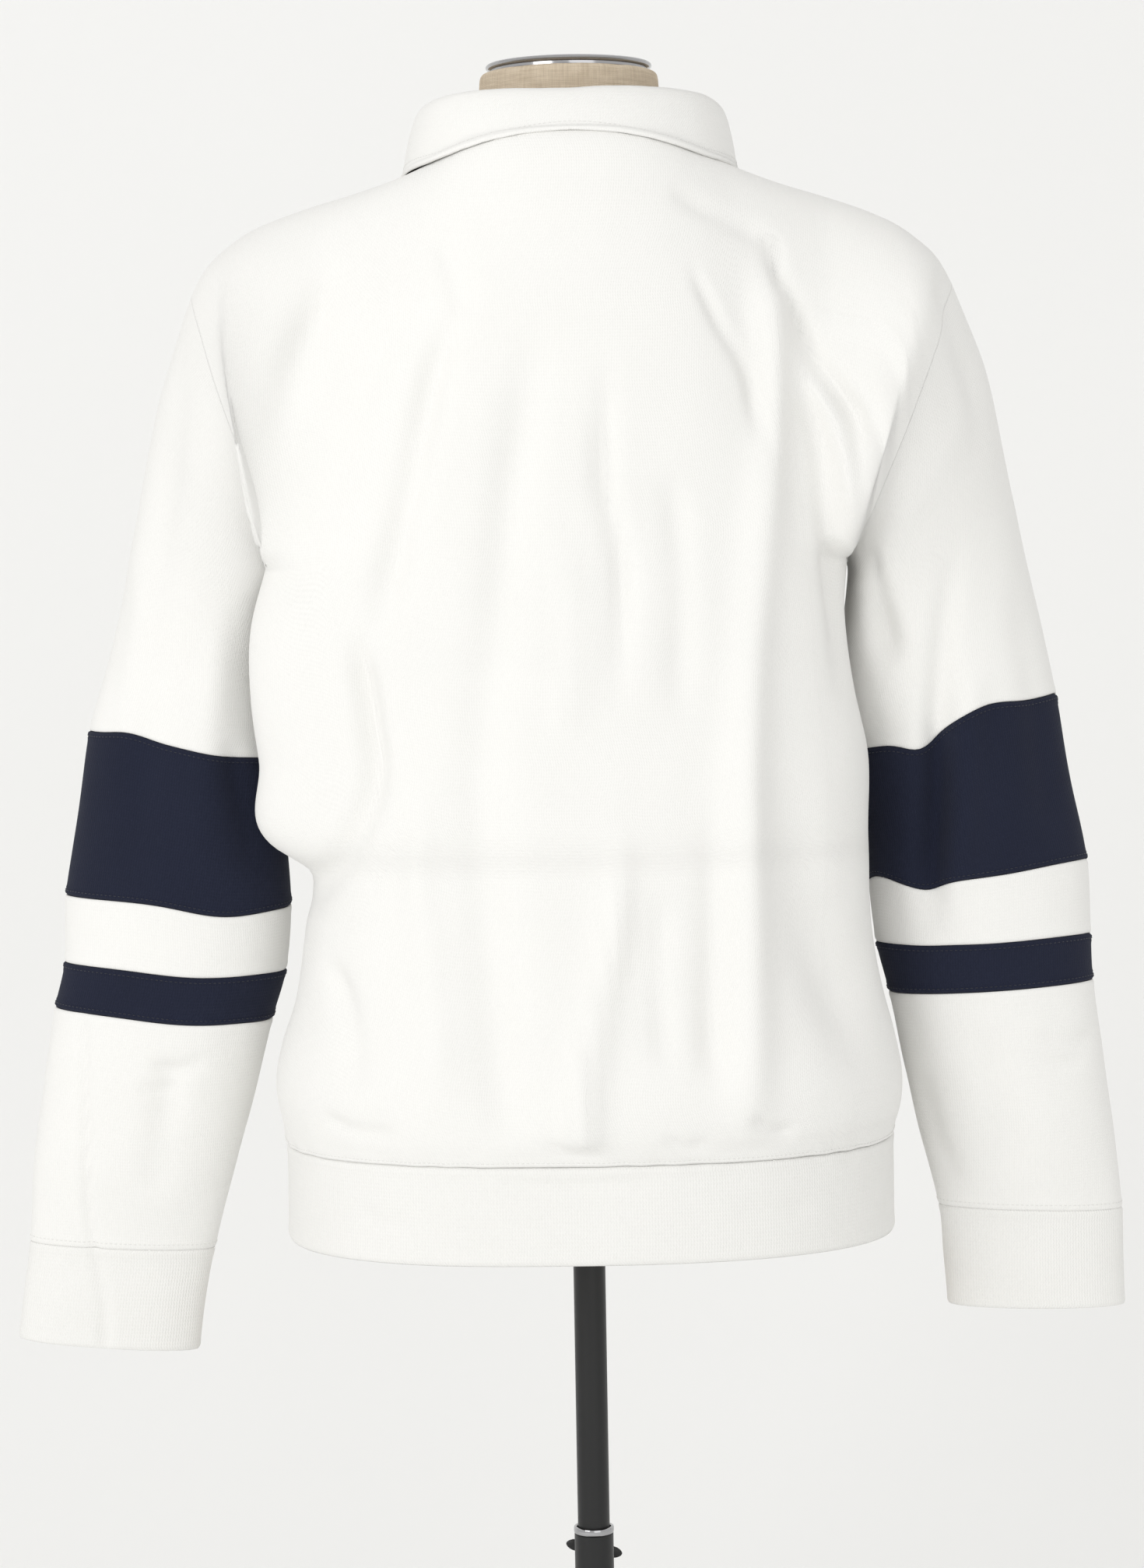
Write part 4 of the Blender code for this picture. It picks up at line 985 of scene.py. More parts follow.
@dataclass(eq=False)
class Garment:
    """The sweatshirt: its sizes, and the methods that build and dress each piece."""

    wall: float = 0.0019
    hem_seam: float = 0.806
    hem_bottom: float = 0.743
    pit: float = 1.188
    tip_x: float = 0.250
    tip_z: float = 1.368
    neck_half: float = 0.091
    neck_z: float = 1.446
    neck_back: float = 0.076
    neck_front: float = 0.104
    neck_rise: float = 0.020
    neck_drop: float = 0.075
    ridge_y: float = -0.012
    armhole_depth: float = 0.080
    power: float = 0.80
    rounding: float = 2.6
    neck_rounding: float = 1.9
    front_ease: float = 0.004
    tuck_reach: float = 0.040
    lobe_y: float = -0.060
    lobe_reach: float = 0.036
    shoulder_share: float = 7 / 26
    seam_gap: float = 0.0001
    collar_end: float = 0.485
    collar_lift: float = 0.0009
    fall_lift: float = 0.0010
    stitch: float = 0.0042
    collar_stitch: float = 0.0055
    collar_plump: float = 0.0005
    stitched_plump: float = 0.0008
    seam_plump: float = 0.0003
    panel_pucker: float = 0.00035
    hem_pucker: float = 0.00030
    yoke_z: float = 1.31
    yoke_half: float = 0.165
    yoke_easing: int = 260
    seam_reach: float = 0.06
    seam_easing: int = 160
    shared_z: float = 1.165
    half_sides: int = 60
    panel_columns: int = 150
    panel_step: float = 0.0037
    sleeve_step: float = 0.0036
    hem_step: float = 0.0034
    collar_step: float = 0.0026
    upper_length: float = 0.32
    collar_length: float = 0.085
    collar_columns: int = 190
    surfaces: dict = field(default_factory=dict)
    joined: dict = field(default_factory=dict)
    sleeve_tops: dict = field(default_factory=dict)

    @functools.lru_cache(maxsize=None)
    def level(self, z: float) -> Level:
        """Return the body's section at a height."""
        table = np.array(BODY)
        slopes = np.gradient(table, table[:, 0], axis=0)
        row = min(max(int(np.searchsorted(table[:, 0], z)) - 1, 0), len(table) - 2)
        low, high = table[row], table[row + 1]
        run = high[0] - low[0]
        t = (z - low[0]) / run
        bend_low = slopes[row] * run * (1 - t) ** 2 * t
        bend_high = slopes[row + 1] * run * (1 - t) * t**2
        return Level(*(low + (high - low) * smooth(t) + bend_low - bend_high))

    def body_point(self, u: float, z: float, face: Face) -> np.ndarray:
        """Return a point below the armpits; u runs from the left side seam at 0 to the right at 1."""
        level = self.level(z)
        across, along = round_share(math.pi * u, self.power)
        side = Side.LEFT.value if across > 0 else Side.RIGHT.value
        half, tuck = (level.left, level.left_tuck) if side < 0 else (level.right, level.right_tuck)
        if face is Face.FRONT:
            half, tuck = half - tuck + self.front_ease, self.front_ease
        y = face.value * (level.back if face is Face.BACK else level.front) * along
        x = -across * half - side * tuck * math.exp(-((y / self.tuck_reach) ** 2))
        if face is Face.BACK and side < 0:
            x -= level.lobe * math.exp(-(((y - self.lobe_y) / self.lobe_reach) ** 2))
        return np.array((x, y, z))

    def neckline(self, turn: float, face: Face) -> np.ndarray:
        """Return a point of the neck seam; turn runs from the left at 0 to the right at 1."""
        across, along = round_share(math.pi * turn, 0.86)
        x = -self.neck_half * across
        if face is Face.BACK:
            y = self.ridge_y - self.neck_back * along
            return np.array((x, y, self.neck_z + self.neck_rise * along))
        drop = self.neck_drop * (1 - abs(across)) ** 1.15
        return np.array((x, self.ridge_y + self.neck_front * along, self.neck_z - drop))

    @functools.lru_cache(maxsize=None)
    def top(self, u: float, face: Face) -> tuple:
        """Return a point of a panel's top edge: shoulder seam, neckline, shoulder seam."""
        seam = self.shoulder_share
        if seam <= u <= 1 - seam:
            return tuple(self.neckline((u - seam) / (1 - 2 * seam), face))
        side = -1 if u < 0.5 else 1
        from_neck = 1 - min(u, 1 - u) / seam
        ridge = Ridge(*between(SHOULDER, from_neck * (len(SHOULDER) - 1)))
        return side * ridge.x, self.ridge_y, ridge.z

    def armhole_y(self, rise: float, face: Face) -> float:
        """Return the armhole seam's depth; rise runs from the armpit at 0 to the shoulder at 1."""
        arch = (2 * math.sqrt(max(rise * (1 - rise), 0.0))) ** self.power
        return self.ridge_y * rise + face.value * self.armhole_depth * arch

    @functools.lru_cache(maxsize=None)
    def pit_point(self, u: float, face: Face) -> tuple:
        """Return a point of the panel level with the armpits."""
        return tuple(self.body_point(u, self.pit, face))

    def upper_point(self, u: float, rise: float, face: Face) -> np.ndarray:
        """Return a point of a panel between the armpits and the shoulders."""
        low, high = np.array(self.pit_point(u, face)), np.array(self.top(u, face))
        point = low + (high - low) * rise
        squarer = self.neck_rounding * math.exp(-(((u - 0.5) / 0.27) ** 4))
        rounding = self.rounding + (squarer if face is Face.BACK else 0)
        fall = (1 - min(rise, 1.0) ** rounding) ** (1 / rounding)
        inner_y = high[1] + (low[1] - high[1]) * fall
        edge_y = self.ridge_y * (1 - fall)
        near_edge = float(smooth(1 - min(u, 1 - u) / 0.25))
        point[1] = inner_y + near_edge * (self.armhole_y(rise, face) - edge_y)
        return point

    def shares(self) -> list:
        """Return the places across a panel, from 0 to 1, closer together beside its sides."""
        columns = self.panel_columns
        near = [0.0, 0.0035, 0.0080]
        return near + [c / columns for c in range(2, columns - 1)] + [1 - share for share in reversed(near)]

    def upper(self, face: Face, shares: list) -> np.ndarray:
        """Return a panel's points from the shoulders down to the armpits, on half a sleeve's columns."""
        rows = []
        for k in range(self.half_sides + 1):
            at_edge = (1 + math.cos(math.pi * k / self.half_sides)) / 2
            inside = 1 - (k / self.half_sides) ** 1.8
            inward = [float(smooth(min(u, 1 - u) / 0.16)) for u in shares]
            rises = [at_edge + (inside - at_edge) * share for share in inward]
            rows.append([self.upper_point(u, rise, face) for u, rise in zip(shares, rises)])
        points = np.array(rows)
        weave = Weave(points, False, (0, face.value, 0))
        weight = smooth((points[:, :, 2] - self.yoke_z) / 0.08) * smooth(weave.lengths(0) / 0.060)
        weight = weight * smooth((self.yoke_half - abs(points[:, :, 0])) / 0.040)
        return eased(points, weight, self.yoke_easing)

    def sleeve_rings(self, side: Side, places: list) -> np.ndarray:
        """Return a sleeve's rings at fractional rows of its table, where 0 is the armhole."""
        table = LEFT_RINGS if side is Side.LEFT else RIGHT_RINGS
        rings = [self.armhole_ring(side)] + [self.sleeve_ring(ring, side) for ring in table]
        flat = np.array(rings).reshape(len(rings), -1)
        points = np.array([between(flat, place).reshape(-1, 3) for place in places])
        x, z = points[:, :, 0], points[:, :, 2]
        drop = sum(sag.drop * bell(x - sag.x, sag.across) * bell(z - sag.z, sag.along) for sag in SAGS)
        points[:, :, 2] -= drop * share_behind(points)
        return points

    def armhole_ring(self, side: Side) -> list:
        """Return a sleeve's first ring: the armhole seam."""
        pit = abs(self.pit_point(0.0 if side is Side.LEFT else 1.0, Face.BACK)[0])
        points = []
        for k in range(2 * self.half_sides + 1):
            angle = math.pi * k / self.half_sides
            rise = (1 + math.cos(angle)) / 2
            face = Face.BACK if k <= self.half_sides else Face.FRONT
            x = pit + (self.tip_x - pit) * rise
            z = self.pit + (self.tip_z - self.pit) * rise
            points.append((side.value * x, self.armhole_y(rise, face), z))
        return points

    def sleeve_ring(self, ring: Ring, side: Side) -> list:
        """Return the points of one sleeve ring, the outermost first, then by way of the back."""
        points = []
        for k in range(2 * self.half_sides + 1):
            angle = math.pi * k / self.half_sides
            share = (1 + math.cos(angle)) / 2
            depth = ring.behind if k <= self.half_sides else ring.ahead
            along = abs(math.sin(angle)) ** 0.9 * (-1 if k <= self.half_sides else 1)
            x = ring.in_x + (ring.out_x - ring.in_x) * share
            z = ring.in_z + (ring.out_z - ring.in_z) * share
            points.append((side.value * x, ring.middle + depth * along, z))
        return points

    def join_armholes(self) -> None:
        """Work out both panels and both upper sleeves together, so that cloth flows over the seams."""
        shares = self.shares()
        spread = edge_rows(self.upper_length, self.sleeve_step)[8:]
        places = [0.0, 0.065, 0.13] + [7 * share for share in spread]
        sleeves = {side: self.sleeve_rings(side, places) for side in Side}
        half, rows = self.half_sides, len(places)
        for face in Face:
            columns = slice(0, half + 1) if face is Face.BACK else slice(2 * half, half - 1, -1)
            left = sleeves[Side.LEFT][::-1, columns].transpose(1, 0, 2)
            right = sleeves[Side.RIGHT][:, columns].transpose(1, 0, 2)
            joined = np.concatenate((left[:, :-1], self.upper(face, shares), right[:, 1:]), axis=1)
            across = Weave(joined, False, (0, face.value, 0)).lengths(1)
            seams = (rows - 1, rows - 2 + len(shares))
            nearest = np.minimum(*(abs(across - across[:, seam : seam + 1]) for seam in seams))
            rise = (1 + np.cos(np.pi * np.arange(half + 1) / half)) / 2
            weight = (1 - smooth(nearest / self.seam_reach)) * smooth(rise / 0.10)[:, None]
            joined = eased(joined, weight, self.seam_easing)
            sleeves[Side.LEFT][:, columns] = joined[:, :rows].transpose(1, 0, 2)[::-1]
            sleeves[Side.RIGHT][:, columns] = joined[:, -rows:].transpose(1, 0, 2)
            self.joined[face] = joined
        self.sleeve_tops = sleeves

    def panel(self, face: Face) -> Weave:
        """Return an uncreased panel down to the hem seam, with a column of sleeve on each side."""
        shares = self.shares()
        extra = (self.joined[face].shape[1] - len(shares)) // 2
        upper = self.joined[face][:, extra - 1 : -(extra - 1)]
        height = self.pit - self.hem_seam
        starts = edge_rows(height, self.panel_step)[:-9] + [1 - 0.009 / height, 1 - 0.0045 / height]
        levels = [self.hem_seam + self.seam_gap + height * start for start in starts]
        lower = np.array([[self.body_point(u, z, face) for u in shares] for z in reversed(levels)])
        left, right = 2 * lower[:, :1] - lower[:, 1:2], 2 * lower[:, -1:] - lower[:, -2:-1]
        lower = np.concatenate((left, lower, right), axis=1)
        return Weave(np.concatenate((upper, lower)), False, (0, face.value, 0))

    def folds(self, weave: Weave, face: Face, side: Side | None) -> np.ndarray:
        """Return the height of the folds on one side of a piece.

        Args:
            weave: the piece of cloth.
            face: the side that the folds are on.
            side: the sleeve, or None for a panel.

        Returns:
            Rows by columns of heights.
        """
        back = face is Face.BACK
        panel = BACK_CREASES if back else FRONT_CREASES
        left = LEFT_SLEEVE_BACK if back else LEFT_SLEEVE_FRONT
        right = RIGHT_SLEEVE_BACK if back else RIGHT_SLEEVE_FRONT
        sleeve = left if side is Side.LEFT else right
        own, other = (panel, left + right) if side is None else (sleeve, panel)
        shared = smooth((weave.points[:, :, 2] - self.shared_z) / 0.03)
        return creased(weave, own) + creased(weave, other) * shared

    def covered(self, name: str, weave: Weave, finish: KnitFinish, plain: Weave) -> Weave:
        """Make one piece of cloth that stands for the CAD node of the same name.

        Args:
            name: the node's name.
            weave: the creased cloth.
            finish: what it is knitted of.
            plain: the cloth before it was creased, whose size is the cut's.

        Returns:
            The creased cloth.
        """
        obj = dressed(sewn(f"{name}_cloth", weave, self.wall), finish, "figure", name)
        width, length = plain.size()
        return weave

    def stitched(self, name: str, weave: Weave, finish: ThreadFinish, lines: tuple) -> None:
        """Lay rows of stitches on a piece.

        Args:
            name: the new piece's name.
            weave: the creased cloth.
            finish: the thread.
            lines: a (distance from the edge, from the first edge) pair for each row.
        """
        shape = bmesh.new()
        for distance, from_first in lines:
            StitchRun().add_to(shape, weave, distance, from_first)
        dressed(linked(name, shape), finish, "figure")

    def add_panels(self) -> None:
        """Add the back and the front."""
        for face, name, seed in ((Face.BACK, "back_panel", 3.0), (Face.FRONT, "front_panel", 8.0)):
            weave = self.panel(face)
            down, across = weave.lengths(0), weave.lengths(1)
            side_edge = np.minimum(across - across[:, 1:2], across[:, -2:-1] - across)
            below = smooth((self.pit - weave.points[:, :, 2]) / 0.02)
            from_hem = down[-1:] - down
            hem_fade = smooth(0.1 + from_hem / 0.014)
            height = self.folds(weave, face, None) * hem_fade * smooth(down / 0.012)
            height += rumpled(weave) * smooth(from_hem / 0.01)
            height += rolled(from_hem, 0.0006, self.stitch)
            height += rolled(np.maximum(side_edge, 0.0), self.seam_plump, 0.0) * below
            pucker = np.sin(across / 0.0062 + 3 * np.sin(across / 0.021 + seed)) * bell(from_hem, 0.012)
            height += self.panel_pucker * pucker
            raised, plain = weave.raised(height).inner(), weave.inner()
            self.covered(name, raised, FLEECE, plain)
            self.stitched(f"{name}_hem_stitches", raised, WHITE_THREAD, ((self.stitch, False),))

    def add_sleeves(self) -> None:
        """Add both sleeves, each of six pieces sewn end to end."""
        pieces = (
            ("sleeve_upper", 0, 7, FLEECE, self.upper_length),
            ("sleeve_band_wide", 7, 9, NAVY, 0.11),
            ("sleeve_gap", 9, 10, FLEECE, 0.046),
            ("sleeve_band_narrow", 10, 11, NAVY, 0.032),
            ("sleeve_lower", 11, 14, FLEECE, 0.165),
            ("cuff", 14, 16, RIB, 0.068),
        )
        for side in Side:
            for part, first, last, finish, length in pieces:
                name = f"{side.name.lower()}_{part}"
                places = [first + (last - first) * share for share in edge_rows(length, self.sleeve_step)]
                rings = self.sleeve_tops[side] if first == 0 else self.sleeve_rings(side, places)
                ghost = self.beside_armhole(side)[None] if first == 0 else 2 * rings[:1] - rings[1:2]
                weave = Weave(np.concatenate((ghost, rings)), True, (side.value, 0, 0.2))
                down = weave.lengths(0)
                down = down - down[1:2]
                behind = share_behind(weave.points)
                height = self.folds(weave, Face.BACK, side) * behind
                height += self.folds(weave, Face.FRONT, side) * (1 - behind) + rumpled(weave)
                navy = finish is NAVY
                stitch, plump = (self.stitch, self.stitched_plump) if navy else (0.0, self.seam_plump)
                if first:
                    height += rolled(np.maximum(down, 0.0), plump, stitch)
                height += rolled(down[-1:] - down, plump, stitch)
                height[:, -1] = height[:, 0]
                raised, plain = weave.raised(height).below(1), weave.below(1)
                self.covered(name, raised, finish, plain)
                last_edge = (self.stitch, False)
                if navy:
                    self.stitched(f"{name}_stitches", raised, NAVY_THREAD, ((self.stitch, True), last_edge))
                if part == "sleeve_lower":
                    self.stitched(f"{name}_stitches", raised, WHITE_THREAD, (last_edge,))

    def beside_armhole(self, side: Side) -> np.ndarray:
        """Return the ring of panel points next to an armhole's seam, on the body's side of it."""
        column = len(self.sleeve_tops[side])
        column = column if side is Side.LEFT else -column - 1
        back, front = self.joined[Face.BACK][:, column], self.joined[Face.FRONT][:, column]
        return np.concatenate((back, front[::-1][1:]))

    def add_hem(self) -> None:
        """Add the hem band, a plain doubled tube under the hem seam."""
        half = self.panel_columns
        drop = self.hem_seam - self.hem_bottom
        rows = []
        tongue = [-0.0026 / drop, -0.0014 / drop, -0.0007 / drop]
        for share in tongue + edge_rows(drop, self.hem_step):
            ring = [self.body_point(c / half, self.hem_seam, Face.BACK) for c in range(half)]
            ring += [self.body_point(1 - c / half, self.hem_seam, Face.FRONT) for c in range(half)]
            rows.append([point - (0, 0, drop * share) for point in ring + ring[:1]])
        weave = Weave(np.array(rows), True, (-1, 0, 0))
        down, across = weave.lengths(0), weave.lengths(1)
        height = creased(weave, HEM_CREASES) * smooth(0.5 - weave.points[:, :, 1] / 0.05)
        down = down - down[len(tongue) : len(tongue) + 1]
        height += uneven(weave, 0.07, 0.0011, 9.0) + rolled(np.maximum(down, 0.0), 0.0004, 0.0)
        height -= 0.0018 * smooth(-down / 0.0007)
        fold = down[-1:] - down
        height += -0.0009 * bell(fold, 0.0012) + 0.0003 * bell(fold - 0.004, 0.004)
        pucker = np.sin(across / 0.0058 + 2 * np.sin(across / 0.019)) * bell(down, 0.009)
        height += self.hem_pucker * pucker
        height[:, -1] = height[:, 0]
        self.covered("hem_band", weave.raised(height), RIB, weave)

    def collar_column(self, way: float, shares: list) -> list:
        """Return the collar's points at one place round the neck, from the seam to the fall's edge.

        Args:
            way: runs from 0 at the left of the neck to 1 at its right by way of the back, and past
                both to the front ends.
            shares: the places along the collar's profile, from 0 to 1.

        Returns:
            The points.
        """
        face = Face.BACK if 0 <= way <= 1 else Face.FRONT
        turn = way if face is Face.BACK else (-way if way < 0 else 2 - way)
        seam = self.neckline(turn, face)
        away = seam - (0, self.ridge_y, 0)
        away[2] = 0
        away /= np.linalg.norm(away)
        from_back = abs(way - 0.5) / (0.5 + self.collar_end)
        girth = Girth(*between(COLLAR_GIRTHS, from_back * (len(COLLAR_GIRTHS) - 1)))
        points = []
        for share in shares:
            bend = Bend(*between(COLLAR_BENDS, share * (len(COLLAR_BENDS) - 1)))
            up = self.collar_lift + bend.up * girth.stand - bend.fall * (girth.stand - girth.edge)
            point = seam + away * (bend.out * girth.reach - 0.0012) + (0, 0, up)
            if bend.fall > 0:
                point = self.clear_of(point, face)
            points.append(point)
        return points

    def clear_of(self, point: np.ndarray, face: Face) -> np.ndarray:
        """Move a point of the collar's fall out until it lies clear of a panel."""
        spot = Vector(point)
        gap = self.wall + self.fall_lift
        for _ in range(5):
            nearest, normal = self.surfaces[face].find_nearest(spot)[:2]
            distance = (spot - nearest).dot(normal)
            if distance < gap:
                spot = spot + normal * (gap - distance)
        return np.array(spot)

    def add_collar(self) -> None:
        """Add the collar: a stand from the neck seam, folded over into a fall that meets in front."""
        self.surfaces = {face: surface_of(self.panel(face).inner()) for face in Face}
        steps = self.collar_columns
        span = 1 + 2 * self.collar_end
        ways = [-self.collar_end + span * k / steps for k in range(steps + 1)]
        shares = edge_rows(self.collar_length, self.collar_step)
        columns = np.array([self.collar_column(way, shares) for way in ways])
        weave = Weave(columns.transpose(1, 0, 2), False, (0, 0, 1))
        down, across = weave.lengths(0), weave.lengths(1)
        side_edge = np.minimum(across, across[:, -1:] - across)
        fade = smooth(weave.from_edges() / 0.008)
        height = (uneven(weave, 0.045, 0.0010, 4.0) + uneven(weave, 0.018, 0.00025, 6.0)) * fade
        height += rolled(down[-1:] - down, self.collar_plump, self.collar_stitch)
        height += rolled(side_edge, self.collar_plump, self.collar_stitch)
        raised = weave.raised(height)
        self.covered("collar", raised, FLEECE, weave)
        self.stitched("collar_stitches", raised, WHITE_THREAD, ((self.collar_stitch, False),))


def turned(name: str, profile: tuple, steps: int = 96) -> bpy.types.Object:
    """Spin a profile round Z into a closed piece.

    Args:
        name: the piece's name.
        profile: (radius, height) points; it starts and ends on the axis, or else closes on itself.
        steps: how many steps go round.

    Returns:
        The object.
    """
    shape = bmesh.new()
    verts = [shape.verts.new((radius, 0, z)) for radius, z in profile]
    loops = list(zip(verts, verts[1:])) + ([] if profile[0][0] == 0 else [(verts[-1], verts[0])])
    edges = [shape.edges.new(pair) for pair in loops]
    bmesh.ops.spin(shape, geom=verts + edges, cent=(0, 0, 0), axis=(0, 0, 1), dvec=(0, 0, 0),
                   angle=2 * math.pi, steps=steps, use_merge=True, use_duplicate=False)
    bmesh.ops.remove_doubles(shape, verts=shape.verts, dist=0.000001)
    bmesh.ops.recalc_face_normals(shape, faces=shape.faces)
    return linked(name, shape, 35)


@dataclass
class DressForm:
    """The limbless linen form with its chrome neck cap."""

    top: float = 1.5115
    cap_radius: float = 0.0550
    gap: float = 0.0003

    def add_torso(self, node: bpy.types.Object) -> None:
        """Add the linen torso, a smoother copy of the CAD's.

        Args:
            node: the CAD node that it stands for.
        """
        shape = bmesh.new()
        shape.from_mesh(node.data)
        bmesh.ops.remove_doubles(shape, verts=shape.verts, dist=0.00001)
        bmesh.ops.join_triangles(shape, faces=shape.faces, angle_face_threshold=3.2,
                                 angle_shape_threshold=3.2)
        obj = linked("form_linen_cover", shape, 180)
        if "custom_normal" in obj.data.attributes:
            obj.data.attributes.remove(obj.data.attributes["custom_normal"])
        rounded = obj.modifiers.new("rounded", "SUBSURF")
        rounded.levels = 2
        rounded.render_levels = 2
        dressed(obj, LINEN, "figure", "form_torso")

    def add_cap(self) -> None:
        """Add the chrome disc: a rounded rim on a narrower step, a little crowned."""
        low = self.top + self.gap
        edge = self.cap_radius
        profile = (
            (0.0, low + 0.0060), (0.020, low + 0.0059), (0.040, low + 0.0057), (edge - 0.0030, low + 0.0055),
            (edge - 0.0014, low + 0.0053), (edge - 0.0004, low + 0.0047), (edge, low + 0.0038),
            (edge - 0.0003, low + 0.0028), (edge - 0.0012, low + 0.0020), (edge - 0.0035, low + 0.0017),
            (edge - 0.0035, low), (0.0, low),
        )
        dressed(turned("neck_cap_chrome", profile), CHROME, "figure", "neck_cap")


@dataclass
class Stand:
    """The pole stand: base, outer tube with its rim, sliding pole and clamp knob."""

    pole: float = 0.0108
    tube: float = 0.0132
    bore: float = 0.0116
    tube_top: float = 0.5320
    base: float = 0.190
    boss: float = 0.024
    floor: float = 0.006
    gap: float = 0.0003
    knob_z: float = 0.5150
    knob_turn: float = math.radians(12)

    def add_base(self) -> None:
        """Add the round base plate with its boss, and the outer tube that stands in it."""
        wall, boss, base = self.tube + self.gap, self.boss, self.base
        bore, edge, top, low = self.bore, self.tube, self.tube_top, self.floor + self.gap
        plate = (
            (0.0, self.floor), (wall, self.floor), (wall, 0.0545), (wall + 0.0005, 0.0550),
            (boss - 0.003, 0.0550), (boss - 0.0009, 0.0541), (boss, 0.0520), (boss, 0.020),
            (boss + 0.0008, 0.0172), (boss + 0.003, 0.0148), (boss + 0.006, 0.0129), (boss + 0.010, 0.0120),
            (0.120, 0.0096), (base - 0.006, 0.0080), (base - 0.003, 0.0068), (base - 0.001, 0.0050),
            (base, 0.0020), (base - 0.001, 0.0), (0.0, 0.0),
        )
        dressed(turned("base_plate_black", plate), BLACK, "stand", "base_plate")
        tube = ((bore, top), (edge - 0.0004, top), (edge, top - 0.0004), (edge, low), (bore, low))
        dressed(turned("outer_tube_black", tube), BLACK, "stand", "outer_tube")

    def add_rim(self) -> None:
        """Add the bright collar ring on the top of the outer tube."""
        low = self.tube_top + self.gap
        edge = self.tube + 0.0004
        ring = (
            (self.bore, low + 0.0040), (self.bore + 0.0005, low + 0.0045), (edge - 0.0010, low + 0.0045),
            (edge - 0.0003, low + 0.0042), (edge, low + 0.0034), (edge, low + 0.0012),
            (edge - 0.0002, low + 0.0004), (edge - 0.0006, low), (self.bore, low),
        )
        dressed(turned("tube_rim_chrome", ring), CHROME, "stand", "tube_rim")

    def add_pole(self, node: bpy.types.Object) -> None:
        """Add the pole, as long as the CAD's.

        Args:
            node: the CAD node that it stands for.
        """
        low = min(vert.co.z for vert in node.data.vertices)
        high = max(vert.co.z for vert in node.data.vertices)
        edge = self.pole
        profile = (
            (0.0, high), (edge - 0.0010, high), (edge, high - 0.0010), (edge, (low + high) / 2),
            (edge, low + 0.0010), (edge - 0.0010, low), (0.0, low),
        )
        dressed(turned("pole_black", profile), BLACK, "pole", "pole")

    def add_knob(self) -> None:
        """Add the clamp knob behind the tube: a screw, a waisted hub and two rounded wings."""
        tip, hub, length = self.pole + self.gap, self.tube + 0.0010, 0.0120
        profile = (
            (0.0, tip), (0.0024, tip), (0.0030, tip + 0.0006), (0.0030, hub), (0.0058, hub),
            (0.0065, hub + 0.0008), (0.0060, hub + 0.0040), (0.0056, hub + 0.0070),
            (0.0054, hub + length - 0.0014), (0.0042, hub + length), (0.0, hub + length + 0.0002),
        )
        obj = turned("clamp_knob_black", profile, 48)
        lying = Matrix.Rotation(-math.pi / 2, 4, "X")
        shape = bmesh.new()
        shape.from_mesh(obj.data)
        bmesh.ops.transform(shape, matrix=lying, verts=shape.verts)
        made = bmesh.ops.create_uvsphere(shape, u_segments=40, v_segments=24, radius=1.0)["verts"]
        for vert in made:
            share = abs(vert.co.x)
            swell = 0.80 + 0.55 * share**2 if share < 0.8 else 1.15
            vert.co = Vector((vert.co.x * 0.0195, vert.co.y * 0.0022, vert.co.z * 0.0052 * swell))
        turn = Matrix.Rotation(self.knob_turn, 4, "Y")
        bmesh.ops.transform(shape, matrix=turn, verts=made)
        bmesh.ops.translate(shape, vec=(0, hub + length * 0.62, 0), verts=made)
        bmesh.ops.translate(shape, vec=(0, 0, self.knob_z), verts=shape.verts)
        bmesh.ops.recalc_face_normals(shape, faces=shape.faces)
        shape.to_mesh(obj.data)
        shape.free()
        dressed(obj, BLACK, "knob", "clamp_knob")


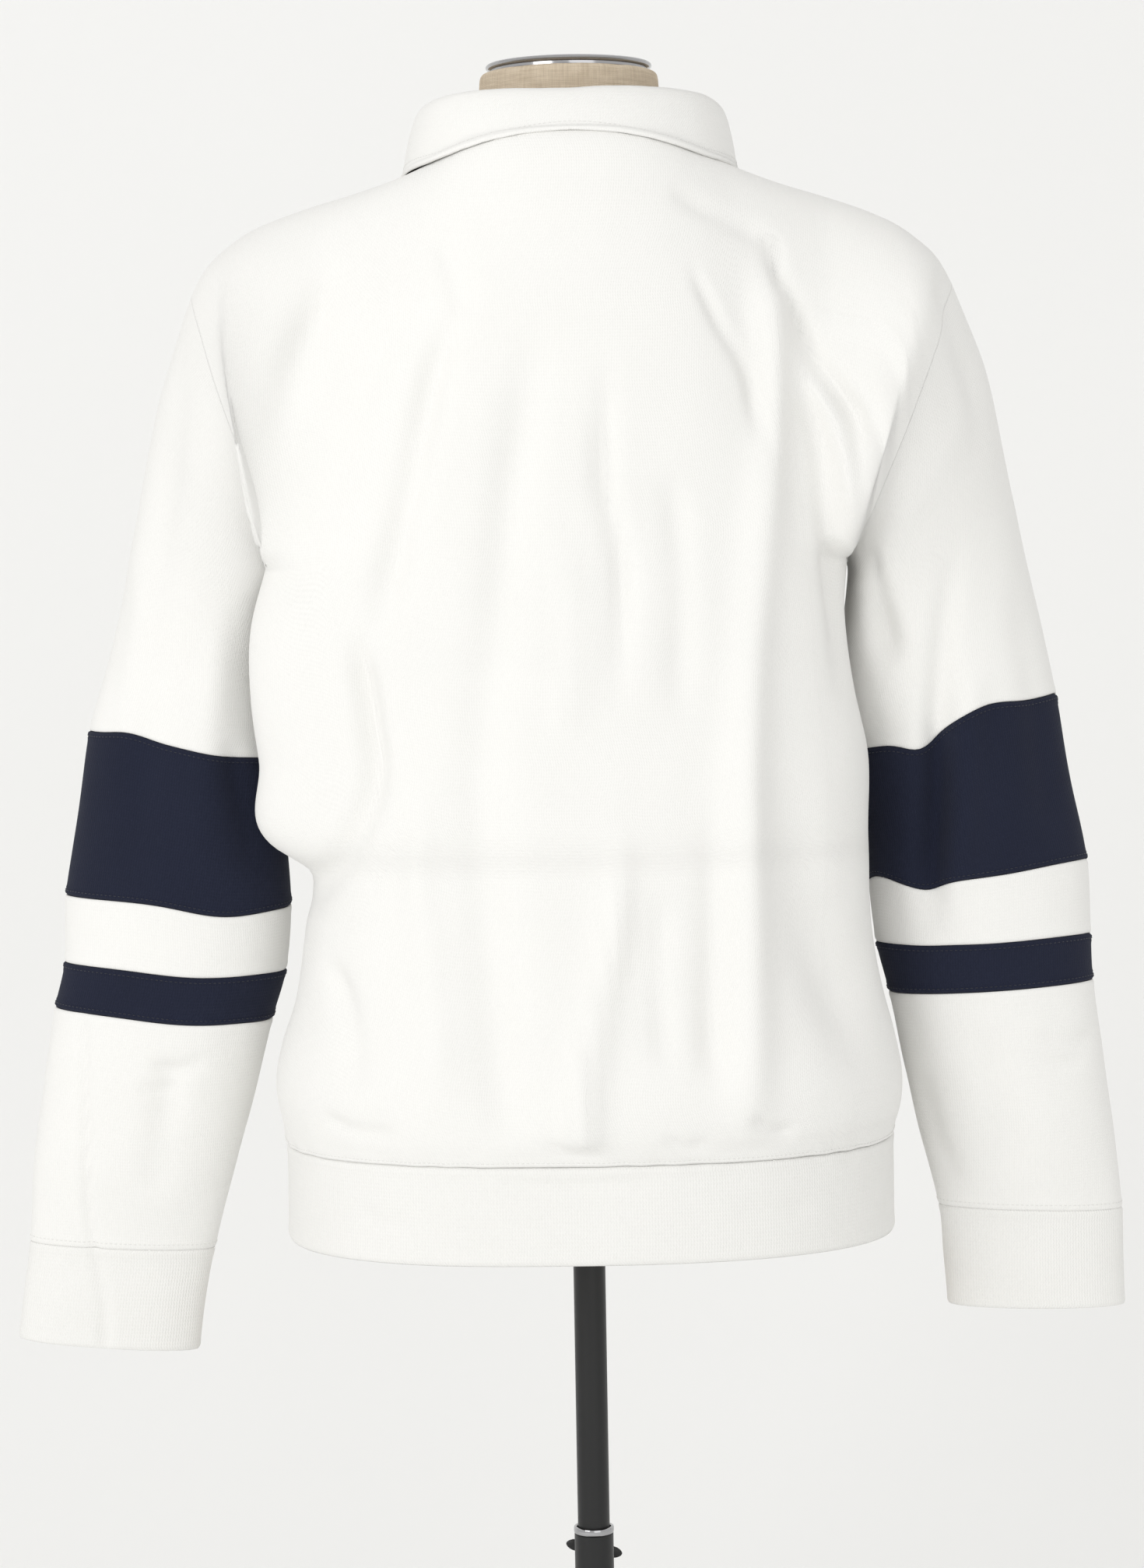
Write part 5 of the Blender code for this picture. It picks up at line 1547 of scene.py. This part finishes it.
@dataclass
class Studio:
    """The pale room: a sweep that a camera behind it sees through, the lights and the camera."""

    wall_y: float = 1.9
    sweep: float = 0.8
    half_width: float = 4.0
    length: float = 9.0
    front_y: float = -4.2
    below_base: float = 0.0005
    camera_tilt: float = math.radians(86.35)
    camera_roll: float = math.radians(-1.008)
    camera_place: tuple = (-0.006, -2.5, 1.20)
    focal_pixels: float = 4807
    frame_pixels: float = 2014

    def add_backdrop(self) -> None:
        """Add the pale sweep that is both floor and wall."""
        shape = bmesh.new()
        bmesh.ops.create_grid(shape, x_segments=8, y_segments=60, size=1.0)
        corner = math.pi / 2 * self.sweep
        for vert in shape.verts:
            run = (vert.co.y + 1) / 2 * self.length + self.front_y
            start = self.wall_y - self.sweep
            if run < start:
                y, z = run, 0.0
            elif run < start + corner:
                angle = (run - start) / self.sweep
                y, z = start + self.sweep * math.sin(angle), self.sweep * (1 - math.cos(angle))
            else:
                y, z = self.wall_y, self.sweep + run - start - corner
            vert.co = Vector((vert.co.x * self.half_width, y, z - self.below_base))
        obj = linked("backdrop", shape, 180)
        material, graph, shader = start_material("backdrop_paper")
        cloudy = graph.cloud(graph.place(), 0.8, 2.0)
        behind = graph.add("NewGeometry").outputs["Backfacing"]
        seen = graph.add("LightPath").outputs["Is Camera Ray"]
        graph.feed(shader, {
            "Base Color": graph.mix(cloudy, (0.895, 0.895, 0.885), (0.925, 0.925, 0.915)),
            "Roughness": 0.95,
            "Alpha": graph.math("SUBTRACT", 1.0, graph.times(behind, seen)),
        })
        obj.data.materials.append(material)

    def add_light(self, name: str, place: tuple, aim: tuple, size: float, watts: float) -> None:
        """Add one soft square light.

        Args:
            name: the light's name.
            place: where it stands.
            aim: the point that it faces.
            size: its side.
            watts: its power.
        """
        lamp = bpy.data.lights.new(name, "AREA")
        lamp.size = size
        lamp.energy = watts
        obj = bpy.data.objects.new(name, lamp)
        obj.location = place
        obj.rotation_euler = (Vector(aim) - Vector(place)).to_track_quat("-Z", "Y").to_euler()
        bpy.context.scene.collection.objects.link(obj)

    def add_lights(self) -> None:
        """Add the soft window light from the left, and the room's own even light."""
        self.add_light("window", (-2.3, -2.9, 2.3), (0.0, 0.0, 1.1), 1.8, 44)
        self.add_light("front_fill", (1.2, -3.4, 1.6), (0.0, 0.0, 1.1), 2.4, 16)
        world = bpy.data.worlds.new("room")
        world.use_nodes = True
        world.node_tree.nodes["Background"].inputs["Color"].default_value = (1.0, 0.995, 0.985, 1)
        world.node_tree.nodes["Background"].inputs["Strength"].default_value = 0.80
        bpy.context.scene.world = world
        bpy.context.scene.view_settings.view_transform = "Standard"
        bpy.context.scene.view_settings.look = "None"

    def add_camera(self) -> None:
        """Add the camera at the photograph's place, a little above the middle of the back."""
        camera = bpy.data.cameras.new("photograph")
        camera.sensor_fit = "VERTICAL"
        camera.sensor_height = 36.0
        camera.lens = camera.sensor_height * self.focal_pixels / self.frame_pixels
        camera.clip_start = 0.05
        obj = bpy.data.objects.new("photograph", camera)
        tilt = Matrix.Rotation(self.camera_tilt, 4, "X") @ Matrix.Rotation(self.camera_roll, 4, "Z")
        obj.matrix_world = Matrix.Translation(self.camera_place) @ tilt
        bpy.context.scene.collection.objects.link(obj)
        bpy.context.scene.camera = obj


def main() -> None:
    """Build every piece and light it."""
    logging.basicConfig(level=logging.INFO, format="%(name)s: %(message)s")
    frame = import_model()
    studio = Studio()
    studio.add_camera()
    garment = Garment()
    garment.join_armholes()
    garment.add_panels()
    garment.add_sleeves()
    garment.add_hem()
    garment.add_collar()
    form = DressForm()
    form.add_torso(frame["nodes"]["form_torso"])
    form.add_cap()
    stand = Stand()
    stand.add_base()
    stand.add_rim()
    stand.add_pole(frame["nodes"]["pole"])
    stand.add_knob()
    studio.add_backdrop()
    studio.add_lights()


if __name__ == "__main__":
    main()
